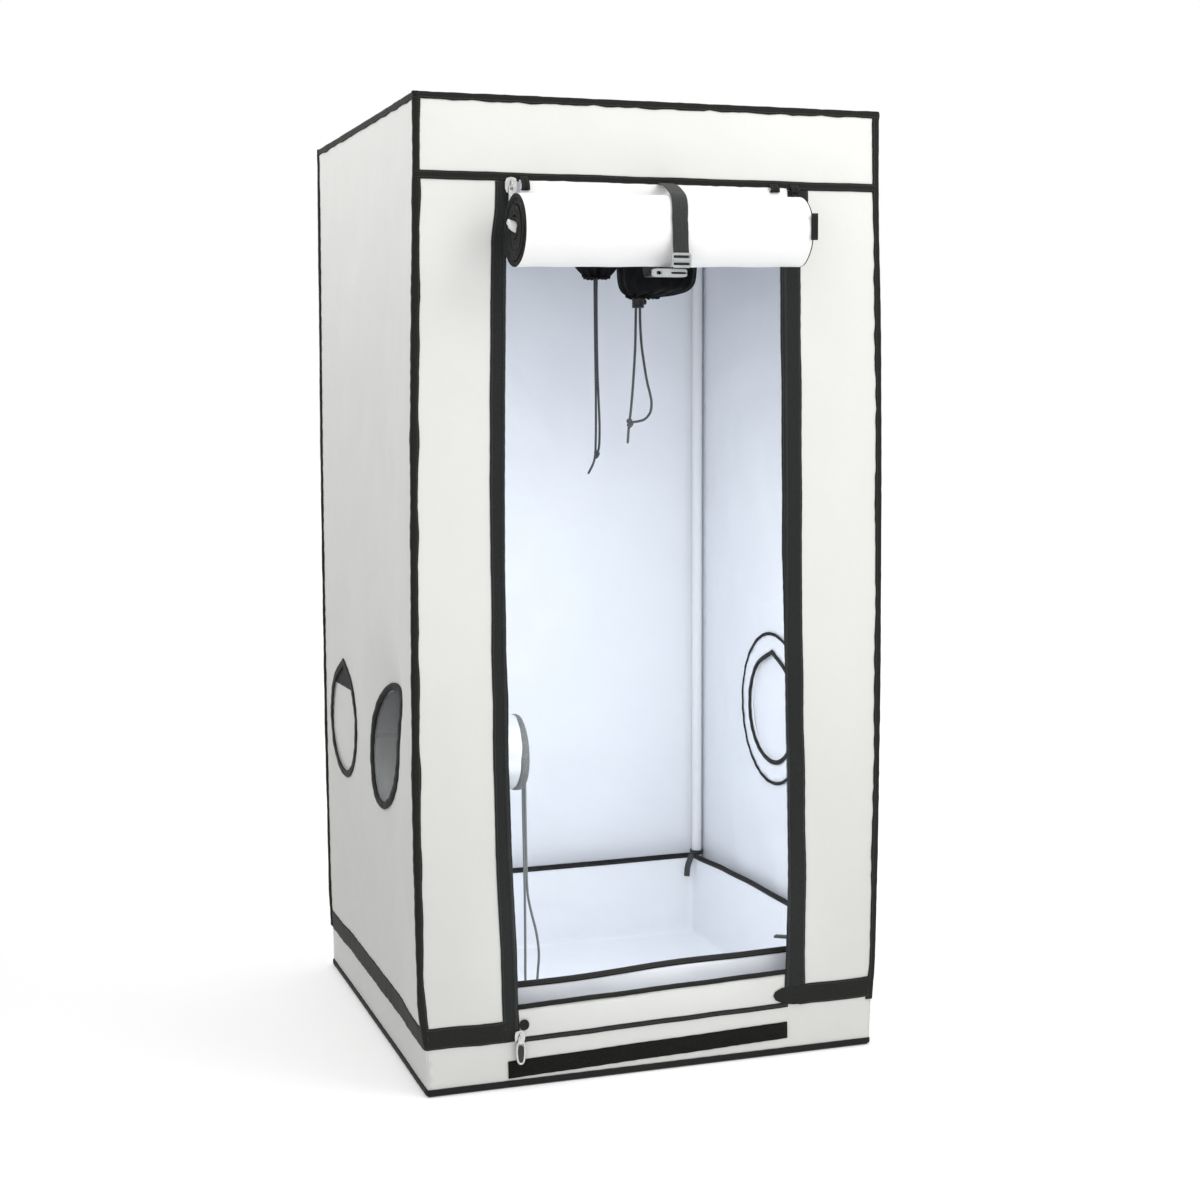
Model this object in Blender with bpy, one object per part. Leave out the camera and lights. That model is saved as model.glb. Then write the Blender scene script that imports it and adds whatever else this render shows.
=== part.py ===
"""Indoor grow tent: a steel pole frame in a white fabric cover, with a front door that is
unzipped and rolled up under the header, duct ports and vents with drawstring sleeves, and a
removable spill tray.

Metres, +Z up, front of the tent towards -Y. Origin on the ground, at the centre of the
footprint."""

import math

import bmesh
import bpy
from mathutils import Matrix, Vector
from mathutils.geometry import tessellate_polygon

# ---------------------------------------------------------------- driving dimensions
WIDTH = 0.600            # cover, left to right
DEPTH = 0.600            # cover, front to back
HEIGHT = 1.216           # ground to roof
CLOTH = 0.0012           # thickness of a cover panel
GAP = 0.0003             # left between pieces that touch

POLE_R = 0.008           # 16 mm steel tube
POLE_WALL = 0.0008
CORNER_R = 0.0098        # three-way corner connector, its sockets
ELBOW = 0.0102           # half the side of the block they leave
CORNER_ARM = 0.045
BORE_R = 0.0083
POLE_XY = 0.2878         # pole axis from the centre of the tent
RAIL_LOW = 0.012         # height of the bottom rails
RAIL_TOP = HEIGHT - 0.012

PIPE_IN = WIDTH / 2 + GAP        # back face of what is sewn on the outside
PIPE_OUT = PIPE_IN + 0.0016      # its front face
PIPE_W = 0.010

HEADER_Z = 1.122         # seam that the door hangs from
SILL_Z = 0.1044          # top of the sill
BAND_LOW, BAND_HIGH = 0.058, 0.086
DOOR_X = 0.183           # inner edge of the zip tape
TAPE_W = 0.020
JAMB_X = 0.186           # edge of the opening in the cloth
ZIP_LOW, ZIP_HIGH = 0.058, 0.066

ROLL_Y, ROLL_Z = -0.357, 1.0565  # axis of the rolled door
ROLL_R = 0.0465          # outermost turn, at the back
ROLL_FRONT = 0.0432      # radius left at the front, half a turn on
ROLL_LEFT, ROLL_RIGHT = -0.197, 0.172
ROLL_CORE = 0.0080
ROLL_TURNS = 5.70
ROLL_CLOTH = 0.0010

STRAP_W = 0.021
STRAP_T = 0.0012
SLIDER_Z = 1.104         # left and right zip sliders, at the top of their travel

VENT_F = (-0.094, 0.4056)        # y, z of the left wall's front vent
VENT_R = (0.178, 0.396)          # and of its rear vent
PORT_R = (0.012, 0.4056)         # right wall's duct port
PORT_TOP_F = (0.090, -0.060)     # x, y of the roof ports
PORT_TOP_R = (0.075, 0.150)

TRAY_A = 0.2765          # half width of the spill tray
TRAY_H = 0.1285
CORD_D = 0.0035

WHITE = (0.86, 0.86, 0.83)
INNER = (0.86, 0.88, 0.93)
BLACK = (0.022, 0.022, 0.021)
STEEL = (0.80, 0.80, 0.80)


# ---------------------------------------------------------------- helpers
def clear_scene():
    for item in list(bpy.data.objects):
        bpy.data.objects.remove(item, do_unlink=True)


def finish(obj, colour, rough, metal):
    mat = bpy.data.materials.new(obj.name + "_finish")
    mat.use_nodes = True
    shader = mat.node_tree.nodes["Principled BSDF"]
    shader.inputs["Base Color"].default_value = (*colour, 1.0)
    shader.inputs["Roughness"].default_value = rough
    shader.inputs["Metallic"].default_value = metal
    mat.diffuse_color = (*colour, 1.0)
    obj.data.materials.clear()
    obj.data.materials.append(mat)


def tidy(mesh):
    """Weld equal points and turn every face outwards."""
    bm = bmesh.new()
    bm.from_mesh(mesh)
    bmesh.ops.remove_doubles(bm, verts=bm.verts, dist=0.000001)
    bmesh.ops.recalc_face_normals(bm, faces=bm.faces)
    bm.to_mesh(mesh)
    bm.free()
    return mesh


def raw(verts, faces):
    mesh = bpy.data.meshes.new("shape")
    mesh.from_pydata([tuple(v) for v in verts], [], [tuple(f) for f in faces])
    mesh.validate()
    return tidy(mesh)


def box(x0, x1, y0, y1, z0, z1):
    x0, x1 = sorted((x0, x1))
    y0, y1 = sorted((y0, y1))
    z0, z1 = sorted((z0, z1))
    v = [(x, y, z) for z in (z0, z1) for y in (y0, y1) for x in (x0, x1)]
    f = [(0, 2, 3, 1), (4, 5, 7, 6), (0, 1, 5, 4), (2, 6, 7, 3), (0, 4, 6, 2), (1, 3, 7, 5)]
    return raw(v, f)


def loft(rings, around=False):
    """Skin a list of equal rings; around joins the last ring to the first."""
    n = len(rings[0])
    verts = [p for ring in rings for p in ring]
    faces = []
    count = len(rings)
    for i in range(count if around else count - 1):
        a, b = i * n, ((i + 1) % count) * n
        for j in range(n):
            k = (j + 1) % n
            faces.append((a + j, a + k, b + k, b + j))
    if not around:
        faces.append(tuple(range(n)))
        faces.append(tuple(range((count - 1) * n, count * n)))
    return raw(verts, faces)


def on_axis(axis, u, v, a):
    """A point with u, v in the plane across the axis and a along it."""
    if axis == "X":
        return (a, u, v)
    if axis == "Y":
        return (u, a, v)
    return (u, v, a)


def slab(axis, outline, a0, a1, holes=()):
    """Extrude a flat outline, with holes, along an axis."""
    loops = [list(outline)] + [list(h) for h in holes]
    flat = [p for loop in loops for p in loop]
    tris = tessellate_polygon([[Vector((p[0], p[1], 0.0)) for p in loop] for loop in loops])
    n = len(flat)
    verts = [on_axis(axis, p[0], p[1], a0) for p in flat]
    verts += [on_axis(axis, p[0], p[1], a1) for p in flat]
    faces = [tuple(t) for t in tris] + [tuple(n + i for i in t) for t in tris]
    start = 0
    for loop in loops:
        m = len(loop)
        for j in range(m):
            k = (j + 1) % m
            faces.append((start + j, start + k, n + start + k, n + start + j))
        start += m
    return raw(verts, faces)


def rect(u0, u1, v0, v1):
    return [(u0, v0), (u1, v0), (u1, v1), (u0, v1)]


def circle(u, v, r, count=32, phase=0.0):
    return [(u + r * math.cos(phase + 2 * math.pi * i / count),
             v + r * math.sin(phase + 2 * math.pi * i / count)) for i in range(count)]


def pointed(u, v, r, apex, count=26):
    """A round outline drawn up to a point at the top."""
    half = math.acos(r / apex)
    start = math.pi / 2 + half
    end = math.pi / 2 - half + 2 * math.pi
    pts = [(u, v + apex)]
    for i in range(count):
        t = start + (end - start) * i / (count - 1)
        pts.append((u + r * math.cos(t), v + r * math.sin(t)))
    return pts


def tube(p0, p1, r_out, r_in=0.0, sides=16):
    """A tube, or a rod when r_in is 0, between two points."""
    p0, p1 = Vector(p0), Vector(p1)
    turn = (p1 - p0).to_track_quat("Z", "Y").to_matrix()

    def ring(p, r):
        return [p + turn @ Vector((r * math.cos(2 * math.pi * (i + 0.5) / sides),
                                   r * math.sin(2 * math.pi * (i + 0.5) / sides), 0.0))
                for i in range(sides)]
    if r_in:
        return loft([ring(p0, r_out), ring(p1, r_out), ring(p1, r_in), ring(p0, r_in)], True)
    return loft([ring(p0, r_out), ring(p1, r_out)])


def blocks(boxes):
    """The outer surface of upright boxes that meet or overlap, as one body."""
    cuts = [sorted({round(b[k], 6) for b in boxes} | {round(b[k + 1], 6) for b in boxes})
            for k in (0, 2, 4)]
    full = set()
    for b in boxes:
        lo = [cuts[k].index(round(min(b[2 * k], b[2 * k + 1]), 6)) for k in range(3)]
        hi = [cuts[k].index(round(max(b[2 * k], b[2 * k + 1]), 6)) for k in range(3)]
        full |= {(i, j, k) for i in range(lo[0], hi[0]) for j in range(lo[1], hi[1])
                 for k in range(lo[2], hi[2])}
    verts, faces, known = [], [], {}

    def point(i, j, k):
        key = (i, j, k)
        if key not in known:
            known[key] = len(verts)
            verts.append((cuts[0][i], cuts[1][j], cuts[2][k]))
        return known[key]

    for i, j, k in sorted(full):
        for d in range(3):
            for side in (0, 1):
                step = [0, 0, 0]
                step[d] = 1 if side else -1
                if (i + step[0], j + step[1], k + step[2]) in full:
                    continue
                u, v = (d + 1) % 3, (d + 2) % 3
                quad = []
                for a, b in ((0, 0), (1, 0), (1, 1), (0, 1)):
                    at = [i, j, k]
                    at[d] += side
                    at[u] += a
                    at[v] += b
                    quad.append(point(*at))
                faces.append(tuple(quad if side else quad[::-1]))
    return raw(verts, faces)


def cut_and_join(base, steps):
    """Boolean steps in turn: each is ("UNION" or "DIFFERENCE", mesh)."""
    scene = bpy.context.scene.collection
    body = bpy.data.objects.new("body", base)
    scene.objects.link(body)
    tools = []
    for kind, mesh in steps:
        tool = bpy.data.objects.new("tool", mesh)
        tool.hide_render = True
        tool.display_type = "WIRE"
        scene.objects.link(tool)
        tools.append(tool)
        mod = body.modifiers.new(kind.lower(), "BOOLEAN")
        mod.operation = kind
        mod.solver = "EXACT"
        mod.object = tool
    depsgraph = bpy.context.evaluated_depsgraph_get()
    depsgraph.update()
    made = bpy.data.meshes.new_from_object(body.evaluated_get(depsgraph))
    for item in tools + [body]:
        bpy.data.objects.remove(item, do_unlink=True)
    return tidy(made)


def put(name, mesh, colour, rough=0.6, metal=0.0, origin=(0.0, 0.0, 0.0), smooth=False):
    """Name the shape as a node; origin is on the joint's axis for a piece that moves."""
    where = Vector(origin)
    if where.length:
        mesh.transform(Matrix.Translation(-where))
    obj = bpy.data.objects.new(name, mesh)
    mesh.name = name
    obj.location = where
    bpy.context.scene.collection.objects.link(obj)
    finish(obj, colour, rough, metal)
    if smooth:
        mesh.shade_smooth()
        mesh.set_sharp_from_angle(angle=math.radians(40))
    return obj


# ---------------------------------------------------------------- frame
def corner(sx, sy, z, up):
    """Three-way connector: a block with three sockets that leave it inwards."""
    c = Vector((sx * POLE_XY, sy * POLE_XY, z))
    h = ELBOW
    square = [(-h, -h), (h, -h), (h, h), (-h, h)]
    verts, faces = [], []

    def add(points):
        verts.extend(points)
        return list(range(len(verts) - len(points), len(verts)))

    for axis, way in (("X", -sx), ("Y", -sy), ("Z", up)):
        def place(u, v, a):
            return c + Vector(on_axis(axis, u, v, a))
        faces.append(tuple(add([place(u, v, -way * h) for u, v in square])))
        ring = circle(0.0, 0.0, CORNER_R, 16, math.pi / 16)
        flat = [[Vector((u, v, 0.0)) for u, v in loop] for loop in (square, ring)]
        ids = add([place(u, v, way * h) for u, v in square + ring])
        faces.extend(tuple(ids[i] for i in t) for t in tessellate_polygon(flat))
        last = ids[4:]
        for r, a in ((CORNER_R, CORNER_ARM), (BORE_R, CORNER_ARM), (BORE_R, 0.0118)):
            nxt = add([place(u, v, way * a) for u, v in circle(0.0, 0.0, r, 16, math.pi / 16)])
            for j in range(16):
                k = (j + 1) % 16
                faces.append((last[j], last[k], nxt[k], nxt[j]))
            last = nxt
        faces.append(tuple(last))
    return raw(verts, faces)


def frame():
    sides = {"l": -1, "r": 1}
    ends = {"f": -1, "b": 1}
    reach = POLE_XY - 0.0125
    for e, sy in ends.items():
        for s, sx in sides.items():
            tag = e + s
            put("corner_low_" + tag, corner(sx, sy, RAIL_LOW, 1), STEEL, 0.35, 0.6, smooth=True)
            put("corner_top_" + tag, corner(sx, sy, RAIL_TOP, -1), STEEL, 0.35, 0.6, smooth=True)
            put("upright_" + tag,
                tube((sx * POLE_XY, sy * POLE_XY, RAIL_LOW + 0.0125),
                     (sx * POLE_XY, sy * POLE_XY, RAIL_TOP - 0.0125),
                     POLE_R, POLE_R - POLE_WALL), STEEL, 0.35, 0.6, smooth=True)
    for level, z in (("low", RAIL_LOW), ("top", RAIL_TOP)):
        for word, sy in (("front", -1), ("back", 1)):
            put("rail_%s_%s" % (level, word),
                tube((-reach, sy * POLE_XY, z), (reach, sy * POLE_XY, z),
                     POLE_R, POLE_R - POLE_WALL), STEEL, 0.35, 0.6, smooth=True)
        for word, sx in (("left", -1), ("right", 1)):
            put("rail_%s_%s" % (level, word),
                tube((sx * POLE_XY, -reach, z), (sx * POLE_XY, reach, z),
                     POLE_R, POLE_R - POLE_WALL), STEEL, 0.35, 0.6, smooth=True)


def hanging_bar(name, y):
    """A bar between the side rails, with a hook over each rail."""
    steps = []
    for s in (-1, 1):
        steps.append(("UNION", box(s * 0.2620, s * 0.2790, y - 0.006, y + 0.006,
                                   RAIL_TOP, RAIL_TOP + 0.0100)))
        steps.append(("UNION", box(s * 0.2700, s * 0.2980, y - 0.006, y + 0.006,
                                   RAIL_TOP + 0.0084, RAIL_TOP + 0.0100)))
        steps.append(("UNION", box(s * 0.2963, s * 0.2980, y - 0.006, y + 0.006,
                                   RAIL_TOP - 0.0050, RAIL_TOP + 0.0100)))
    bar = cut_and_join(tube((-0.2788, y, RAIL_TOP), (0.2788, y, RAIL_TOP),
                            POLE_R, POLE_R - POLE_WALL), steps)
    put(name, bar, STEEL, 0.35, 0.6, origin=(0.0, y, RAIL_TOP))


# ---------------------------------------------------------------- cover
def cover():
    a = WIDTH / 2
    b = DEPTH / 2
    low, high = CLOTH + GAP, HEIGHT - CLOTH - GAP
    put("cover_floor", box(-a, a, -b, b, 0.0, CLOTH), BLACK, 0.7)
    put("cover_roof", slab("Z", rect(-a, a, -b, b), HEIGHT - CLOTH, HEIGHT,
                           [circle(*PORT_TOP_F, 0.052), circle(*PORT_TOP_R, 0.047)]),
        WHITE, 0.6)
    put("cover_front", slab("Y", rect(-a, a, low, high), -b, -b + CLOTH,
                            [rect(-JAMB_X, JAMB_X, SILL_Z, HEADER_Z)]), WHITE, 0.6)
    put("cover_back", box(-a, a, b - CLOTH, b, low, high), WHITE, 0.6)
    y = b - CLOTH - GAP
    put("cover_left", slab("X", rect(-y, y, low, high), -a, -a + CLOTH,
                           [circle(*VENT_F, 0.080), pointed(*VENT_R, 0.0760, 0.0875)]),
        WHITE, 0.6)
    put("cover_right", slab("X", rect(-y, y, low, high), a - CLOTH, a,
                            [pointed(*PORT_R, 0.0760, 0.0875)]), WHITE, 0.6)


def binding():
    """Edge piping, header line and the band above the ground, sewn as one net of tape."""
    i, o, w = PIPE_IN, PIPE_OUT, PIPE_W
    top = HEIGHT + 0.0017
    parts = []
    for sx in (-1, 1):
        for sy in (-1, 1):
            parts.append((sx * (o - w), sx * o, sy * i, sy * o, BAND_LOW, top))
            parts.append((sx * i, sx * o, sy * (o - w), sy * o, BAND_LOW, top))
    for s in (-1, 1):
        parts.append((-o, o, s * i, s * o, top - w, top))
        parts.append((s * i, s * o, -o, o, top - w, top))
        parts.append((-o, o, s * (o - w), s * o, HEIGHT + GAP, top))
        parts.append((s * (o - w), s * o, -o, o, HEIGHT + GAP, top))
        parts.append((s * i, s * o, -o, o, BAND_LOW, BAND_HIGH))
        parts.append((s * (DOOR_X + TAPE_W + 0.0005), s * o, -o, -i, BAND_LOW, BAND_HIGH))
    parts.append((-o, o, i, o, BAND_LOW, BAND_HIGH))
    parts.append((-o, o, -o, -i, HEADER_Z - 0.005, HEADER_Z + 0.005))
    put("edge_binding", blocks(parts), BLACK, 0.75)

    put("ground_piping", slab("Z", rect(-o, o, -o, o), 0.0010, 0.0090, [rect(-i, i, -i, i)]),
        BLACK, 0.75)
    put("sill_binding", box(-DOOR_X + GAP, DOOR_X - GAP, -o, -i, 0.0985, 0.1055), BLACK, 0.75)
    put("sill_hook_strip", box(-0.196, 0.183, -o, -i, 0.0175, 0.0395), BLACK, 0.85)
    outer, inner = DOOR_X + TAPE_W, DOOR_X
    top_z = HEADER_Z - 0.0055
    put("door_zip_tape", slab("Y", [(-outer, ZIP_LOW), (outer, ZIP_LOW), (outer, top_z),
                                    (inner, top_z), (inner, ZIP_HIGH), (-inner, ZIP_HIGH),
                                    (-inner, top_z), (-outer, top_z)], -o, -i), BLACK, 0.7)


# ---------------------------------------------------------------- rolled door and its strap
def door():
    """The door wound into a roll: one strip of cloth on a spiral, open at both ends."""
    steps = int(round(ROLL_TURNS * 28))
    r0 = ROLL_R - ROLL_CLOTH / 2
    pitch = (r0 - ROLL_CORE) / ROLL_TURNS
    out, inn = [], []
    for k in range(steps + 1):
        t = 2 * math.pi * k / 28
        r = r0 - pitch * k / 28
        away = Vector((math.cos(-t), math.sin(-t)))
        centre = Vector((ROLL_Y, ROLL_Z))
        out.append(centre + away * (r + ROLL_CLOTH / 2))
        inn.append(centre + away * (r - ROLL_CLOTH / 2))
    n = steps + 1
    pts = out + inn
    verts = [(ROLL_LEFT, p.x, p.y) for p in pts] + [(ROLL_RIGHT, p.x, p.y) for p in pts]
    m = len(pts)
    faces = []
    for k in range(steps):
        faces.append((k, k + 1, m + k + 1, m + k))
        faces.append((n + k, n + k + 1, m + n + k + 1, m + n + k))
        faces.append((k, k + 1, n + k + 1, n + k))
        faces.append((m + k, m + k + 1, m + n + k + 1, m + n + k))
    faces.append((0, n, m + n, m))
    faces.append((steps, n + steps, m + n + steps, m + steps))
    put("door_roll", raw(verts, faces), WHITE, 0.55, origin=(0.0, ROLL_Y, ROLL_Z), smooth=True)

    put("door_curtain", box(-0.172, 0.172, -0.3092, -0.3082, ROLL_Z + 0.004, 1.1095), WHITE, 0.55,
        origin=(0.0, -0.3087, 1.1095))


def webbing(path, x_of):
    """Flat tape along a path in the YZ plane; x_of gives its centre for a share of the run."""
    run = [0.0]
    for p, q in zip(path, path[1:]):
        run.append(run[-1] + (Vector(q) - Vector(p)).length)
    rings = []
    for k, p in enumerate(path):
        a = Vector(path[max(k - 1, 0)])
        b = Vector(path[min(k + 1, len(path) - 1)])
        along = (b - a).normalized()
        side = Vector((-along.y, along.x)) * (STRAP_T / 2)
        x = x_of(run[k] / run[-1])
        h = STRAP_W / 2
        rings.append([(x - h, p[0] - side.x, p[1] - side.y), (x + h, p[0] - side.x, p[1] - side.y),
                      (x + h, p[0] + side.x, p[1] + side.y), (x - h, p[0] + side.x, p[1] + side.y)])
    return loft(rings)


def strap():
    seam = (-0.3030, 1.1140)
    r = ROLL_FRONT + 0.0006 + STRAP_T / 2
    dy, dz = seam[0] - ROLL_Y, seam[1] - ROLL_Z
    first = math.atan2(dz, dy) + math.acos(r / math.hypot(dy, dz))
    path = [seam, (seam[0] - 0.02, seam[1] - 0.02 * 0.113)]
    steps = 9
    for k in range(steps + 1):
        t = first + (math.pi - first) * k / steps
        path.append((ROLL_Y + r * math.cos(t), ROLL_Z + r * math.sin(t)))
    path += [(ROLL_Y - r, ROLL_Z - 0.024), (ROLL_Y - r, ROLL_Z - 0.050)]
    put("strap_front", webbing(path, lambda s: 0.010 - 0.0175 * s), BLACK, 0.75,
        origin=(0.0, seam[0], seam[1]))

    low = ROLL_Z - 0.0500
    path = [(-0.3044, 1.1105), (-0.3044, 1.0600), (-0.3044, low + 0.0101), (-0.3050, low + 0.0053),
            (-0.3068, low + 0.0021), (-0.3100, low + 0.0005), (-0.3150, low), (-0.3560, low),
            (-0.3970, low)]
    put("strap_rear", webbing(path, lambda s: -0.008), BLACK, 0.75, origin=(-0.008, -0.3044, 1.1105))

    x, z, front = -0.0070, ROLL_Z - 0.0370, ROLL_Y - r - STRAP_T / 2 - 0.0004
    slots = [rect(x - 0.01125, x + 0.01125, z + s * 0.0042 - 0.0016, z + s * 0.0042 + 0.0016)
             for s in (-1, 1)]
    put("strap_buckle", slab("Y", rect(x - 0.015, x + 0.015, z - 0.009, z + 0.009),
                             front - 0.0028, front, slots), (0.42, 0.43, 0.43), 0.4, 0.3,
        origin=(x, front - 0.0014, z))


# ---------------------------------------------------------------- zips
def arch(x, y, z):
    """The slider's bridge, which the pull tab's bar sits in; the bar's axis is at y, z."""
    loop = slab("X", rect(y - 0.0028, y + 0.0022, z - 0.0035, z + 0.0035), x - 0.0007, x + 0.0007,
                [rect(y - 0.0015, y + 0.0014, z - 0.0020, z + 0.0020)])
    return loop


def pull(x, y, z, width, length, ring):
    """Pull tab: a bar on the axis, two side rails round the bridge and a holed tab."""
    w = width / 2
    holes = [rect(x - 0.0016, x + 0.0016, z - 0.0070, z - 0.00075)]
    if ring:
        a, b = z - 0.0090, z - length + 0.0030
        holes.append([(x - w + 0.0022, a), (x + w - 0.0022, a), (x + w - 0.0022, b + 0.002),
                      (x + w - 0.0040, b), (x - w + 0.0040, b), (x - w + 0.0022, b + 0.002)])
    outline = [(x - w, z + 0.00075), (x - w, z - length + 0.003), (x - w + 0.003, z - length),
               (x + w - 0.003, z - length), (x + w, z - length + 0.003), (x + w, z + 0.00075)]
    return slab("Y", outline, y - 0.00075, y + 0.00075, holes)


def zips():
    y = -0.3065
    grey = (0.55, 0.56, 0.56)
    for word, s in (("left", -1), ("right", 1)):
        u = [(0.1765, -0.3050), (0.1920, -0.3050), (0.1920, -0.3022), (0.1815, -0.3022),
             (0.1815, -0.3000), (0.1857, -0.3000), (0.1857, -0.2985), (0.1765, -0.2985)]
        body = slab("Z", [(s * a, b) for a, b in u], SLIDER_Z - 0.006, SLIDER_Z + 0.006)
        x = s * 0.1835
        put("zip_slider_" + word, cut_and_join(body, [("UNION", arch(x, y, SLIDER_Z + 0.001))]),
            grey, 0.3, 0.9, origin=(x, y, SLIDER_Z))
        put("zip_pull_" + word, pull(x, y, SLIDER_Z + 0.001, 0.0070, 0.0250, False),
            grey, 0.3, 0.9, origin=(x, y, SLIDER_Z + 0.001))
    x, z = -0.1840, 0.0620
    body = box(x - 0.006, x + 0.006, -0.3050, -0.3022, z - 0.008, z + 0.008)
    put("zip_slider_low", cut_and_join(body, [("UNION", arch(x, y, z))]), grey, 0.3, 0.9,
        origin=(x, y, z))
    put("zip_pull_low", pull(x, y, z, 0.0120, 0.0390, True), grey, 0.3, 0.9, origin=(x, y, z))


# ---------------------------------------------------------------- vents, ports and sleeves
def sleeve(rings, along, sides=20, wall=0.0010):
    """A cloth tube through the rings (position, centre u, centre v, radius), open both ends."""
    out, inn = [], []
    for a, u, v, r in rings:
        out.append([on_axis(along, p[0], p[1], a) for p in circle(u, v, r, sides)])
        inn.append([on_axis(along, p[0], p[1], a) for p in circle(u, v, r - wall, sides)])
    return loft(out + inn[::-1], True)


def vents():
    a = WIDTH / 2
    y, z = VENT_F
    ring = [(0.0, 0.0006), (0.0785, 0.0006), (0.0785, 0.0003), (0.0870, 0.0003),
            (0.0870, 0.0019), (0.0785, 0.0019), (0.0785, 0.0016), (0.0, 0.0016)]
    rings = [[(-a - h, *p) for p in circle(y, z, r, 32)] for r, h in ring[1:-1]]
    put("vent_front_screen", loft(rings), BLACK, 0.8)
    put("vent_front_sleeve", sleeve(
        [(-0.2983, y, z, 0.0830), (-0.2620, y, z - 0.0010, 0.0790), (-0.2260, y, z - 0.0040, 0.0730),
         (-0.1900, y, z - 0.0080, 0.0660), (-0.1550, y, z - 0.0135, 0.0580),
         (-0.1200, y, z - 0.0196, 0.0500)], "X"), INNER, 0.6, smooth=True)

    y, z = VENT_R
    put("vent_rear_binding", slab("X", pointed(y, z, 0.0820, 0.0935), -PIPE_OUT, -PIPE_IN,
                                  [pointed(y, z, 0.0745, 0.0855)]), BLACK, 0.75)
    put("vent_rear_flap", slab("X", circle(y, z, 0.0880), -0.2983, -0.2971), WHITE, 0.6,
        origin=(-0.2977, y, z + 0.088))

    y, z = PORT_R
    put("port_right_ring", slab("X", circle(y, z, 0.1095, 36), 0.2973, 0.2985,
                                [circle(y, z, 0.0890, 36)]), INNER, 0.6)
    put("port_right_flap", slab("X", circle(y, z, 0.0920), 0.3003, 0.3015), WHITE, 0.6,
        origin=(0.3009, y, z + 0.092))

    x, y = PORT_TOP_F
    put("roof_sleeve_front", sleeve(
        [(1.2143, x, y, 0.0550), (1.1000, x, y, 0.0545), (1.0450, x, y, 0.0530),
         (1.0220, x - 0.002, y, 0.0470), (1.0080, x - 0.010, y, 0.0330),
         (1.0000, x - 0.020, y, 0.0190), (0.9960, x - 0.026, y, 0.0110)], "Z"),
        BLACK, 0.7, smooth=True)
    x, y = PORT_TOP_R
    put("roof_sleeve_rear", sleeve(
        [(1.2143, x, y, 0.0500), (1.1300, x, y, 0.0495), (1.0900, x, y, 0.0470),
         (1.0600, x, y, 0.0380), (1.0420, x, y, 0.0230), (1.0320, x, y, 0.0120)], "Z"),
        BLACK, 0.7, smooth=True)


# ---------------------------------------------------------------- drawstrings
def smooth_route(points, gap):
    """Points at an even gap on a smooth curve (centripetal Catmull-Rom) through a route."""
    pts = [Vector(p) for p in points]
    pts = [pts[0] * 2 - pts[1]] + pts + [pts[-1] * 2 - pts[-2]]
    fine = []
    for k in range(1, len(pts) - 2):
        p0, p1, p2, p3 = pts[k - 1:k + 3]
        t0 = 0.0
        t1 = t0 + math.sqrt((p1 - p0).length)
        t2 = t1 + math.sqrt((p2 - p1).length)
        t3 = t2 + math.sqrt((p3 - p2).length)
        for j in range(24):
            t = t1 + (t2 - t1) * j / 24
            a1 = p0 * ((t1 - t) / (t1 - t0)) + p1 * ((t - t0) / (t1 - t0))
            a2 = p1 * ((t2 - t) / (t2 - t1)) + p2 * ((t - t1) / (t2 - t1))
            a3 = p2 * ((t3 - t) / (t3 - t2)) + p3 * ((t - t2) / (t3 - t2))
            b1 = a1 * ((t2 - t) / (t2 - t0)) + a2 * ((t - t0) / (t2 - t0))
            b2 = a2 * ((t3 - t) / (t3 - t1)) + a3 * ((t - t1) / (t3 - t1))
            fine.append(b1 * ((t2 - t) / (t2 - t1)) + b2 * ((t - t1) / (t2 - t1)))
    fine.append(pts[-2])
    low = min(p.z for p in fine)
    out, last = [fine[0]], fine[0]
    for p in fine[1:-1]:
        need = gap if p.z > low + 0.025 else gap * 0.4
        if (p - last).length >= need:
            out.append(p)
            last = p
    if (fine[-1] - out[-1]).length < gap * 0.3:
        out.pop()
    out.append(fine[-1])
    return out


def drawstring(name, route, gap):
    points = smooth_route(route, gap)
    curve = bpy.data.curves.new(name, "CURVE")
    curve.dimensions = "3D"
    curve.bevel_depth = CORD_D / 2
    curve.bevel_resolution = 2
    curve.use_fill_caps = True
    spline = curve.splines.new("POLY")
    spline.points.add(len(points) - 1)
    for k, p in enumerate(points):
        spline.points[k].co = (p.x, p.y, p.z, 1.0)
    obj = bpy.data.objects.new(name, curve)
    bpy.context.scene.collection.objects.link(obj)
    finish(obj, (0.05, 0.05, 0.05), 0.7, 0.0)
    return obj


def across(y, pairs):
    return [(x, y, z) for x, z in pairs]


FRONT_A = across(-0.060, [(0.0610, 0.9980), (0.0610, 0.9850), (0.0608, 0.9600), (0.0600, 0.9300),
                          (0.0575, 0.8950), (0.0545, 0.8600), (0.0520, 0.8350), (0.0506, 0.8220),
                          (0.0498, 0.8080), (0.0490, 0.7955)])
FRONT_B = across(-0.060, [(0.0668, 0.9980), (0.0668, 0.9850), (0.0672, 0.9600), (0.0690, 0.9300),
                          (0.0720, 0.9050), (0.0765, 0.8780), (0.0808, 0.8620), (0.0832, 0.8500),
                          (0.0815, 0.8370), (0.0740, 0.8285), (0.0640, 0.8255), (0.0538, 0.8245)])
REAR_A = across(0.150, [(0.0722, 1.0345), (0.0722, 1.0100), (0.0722, 0.9600), (0.0728, 0.9000),
                        (0.0732, 0.8400), (0.0730, 0.7950), (0.0724, 0.7730), (0.0702, 0.7615),
                        (0.0655, 0.7520), (0.0615, 0.7455)])
REAR_B = across(0.150, [(0.0766, 1.0345), (0.0764, 1.0100), (0.0764, 0.9600), (0.0772, 0.9000),
                        (0.0792, 0.8400), (0.0797, 0.8100), (0.0787, 0.7880), (0.0776, 0.7780)])
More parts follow.
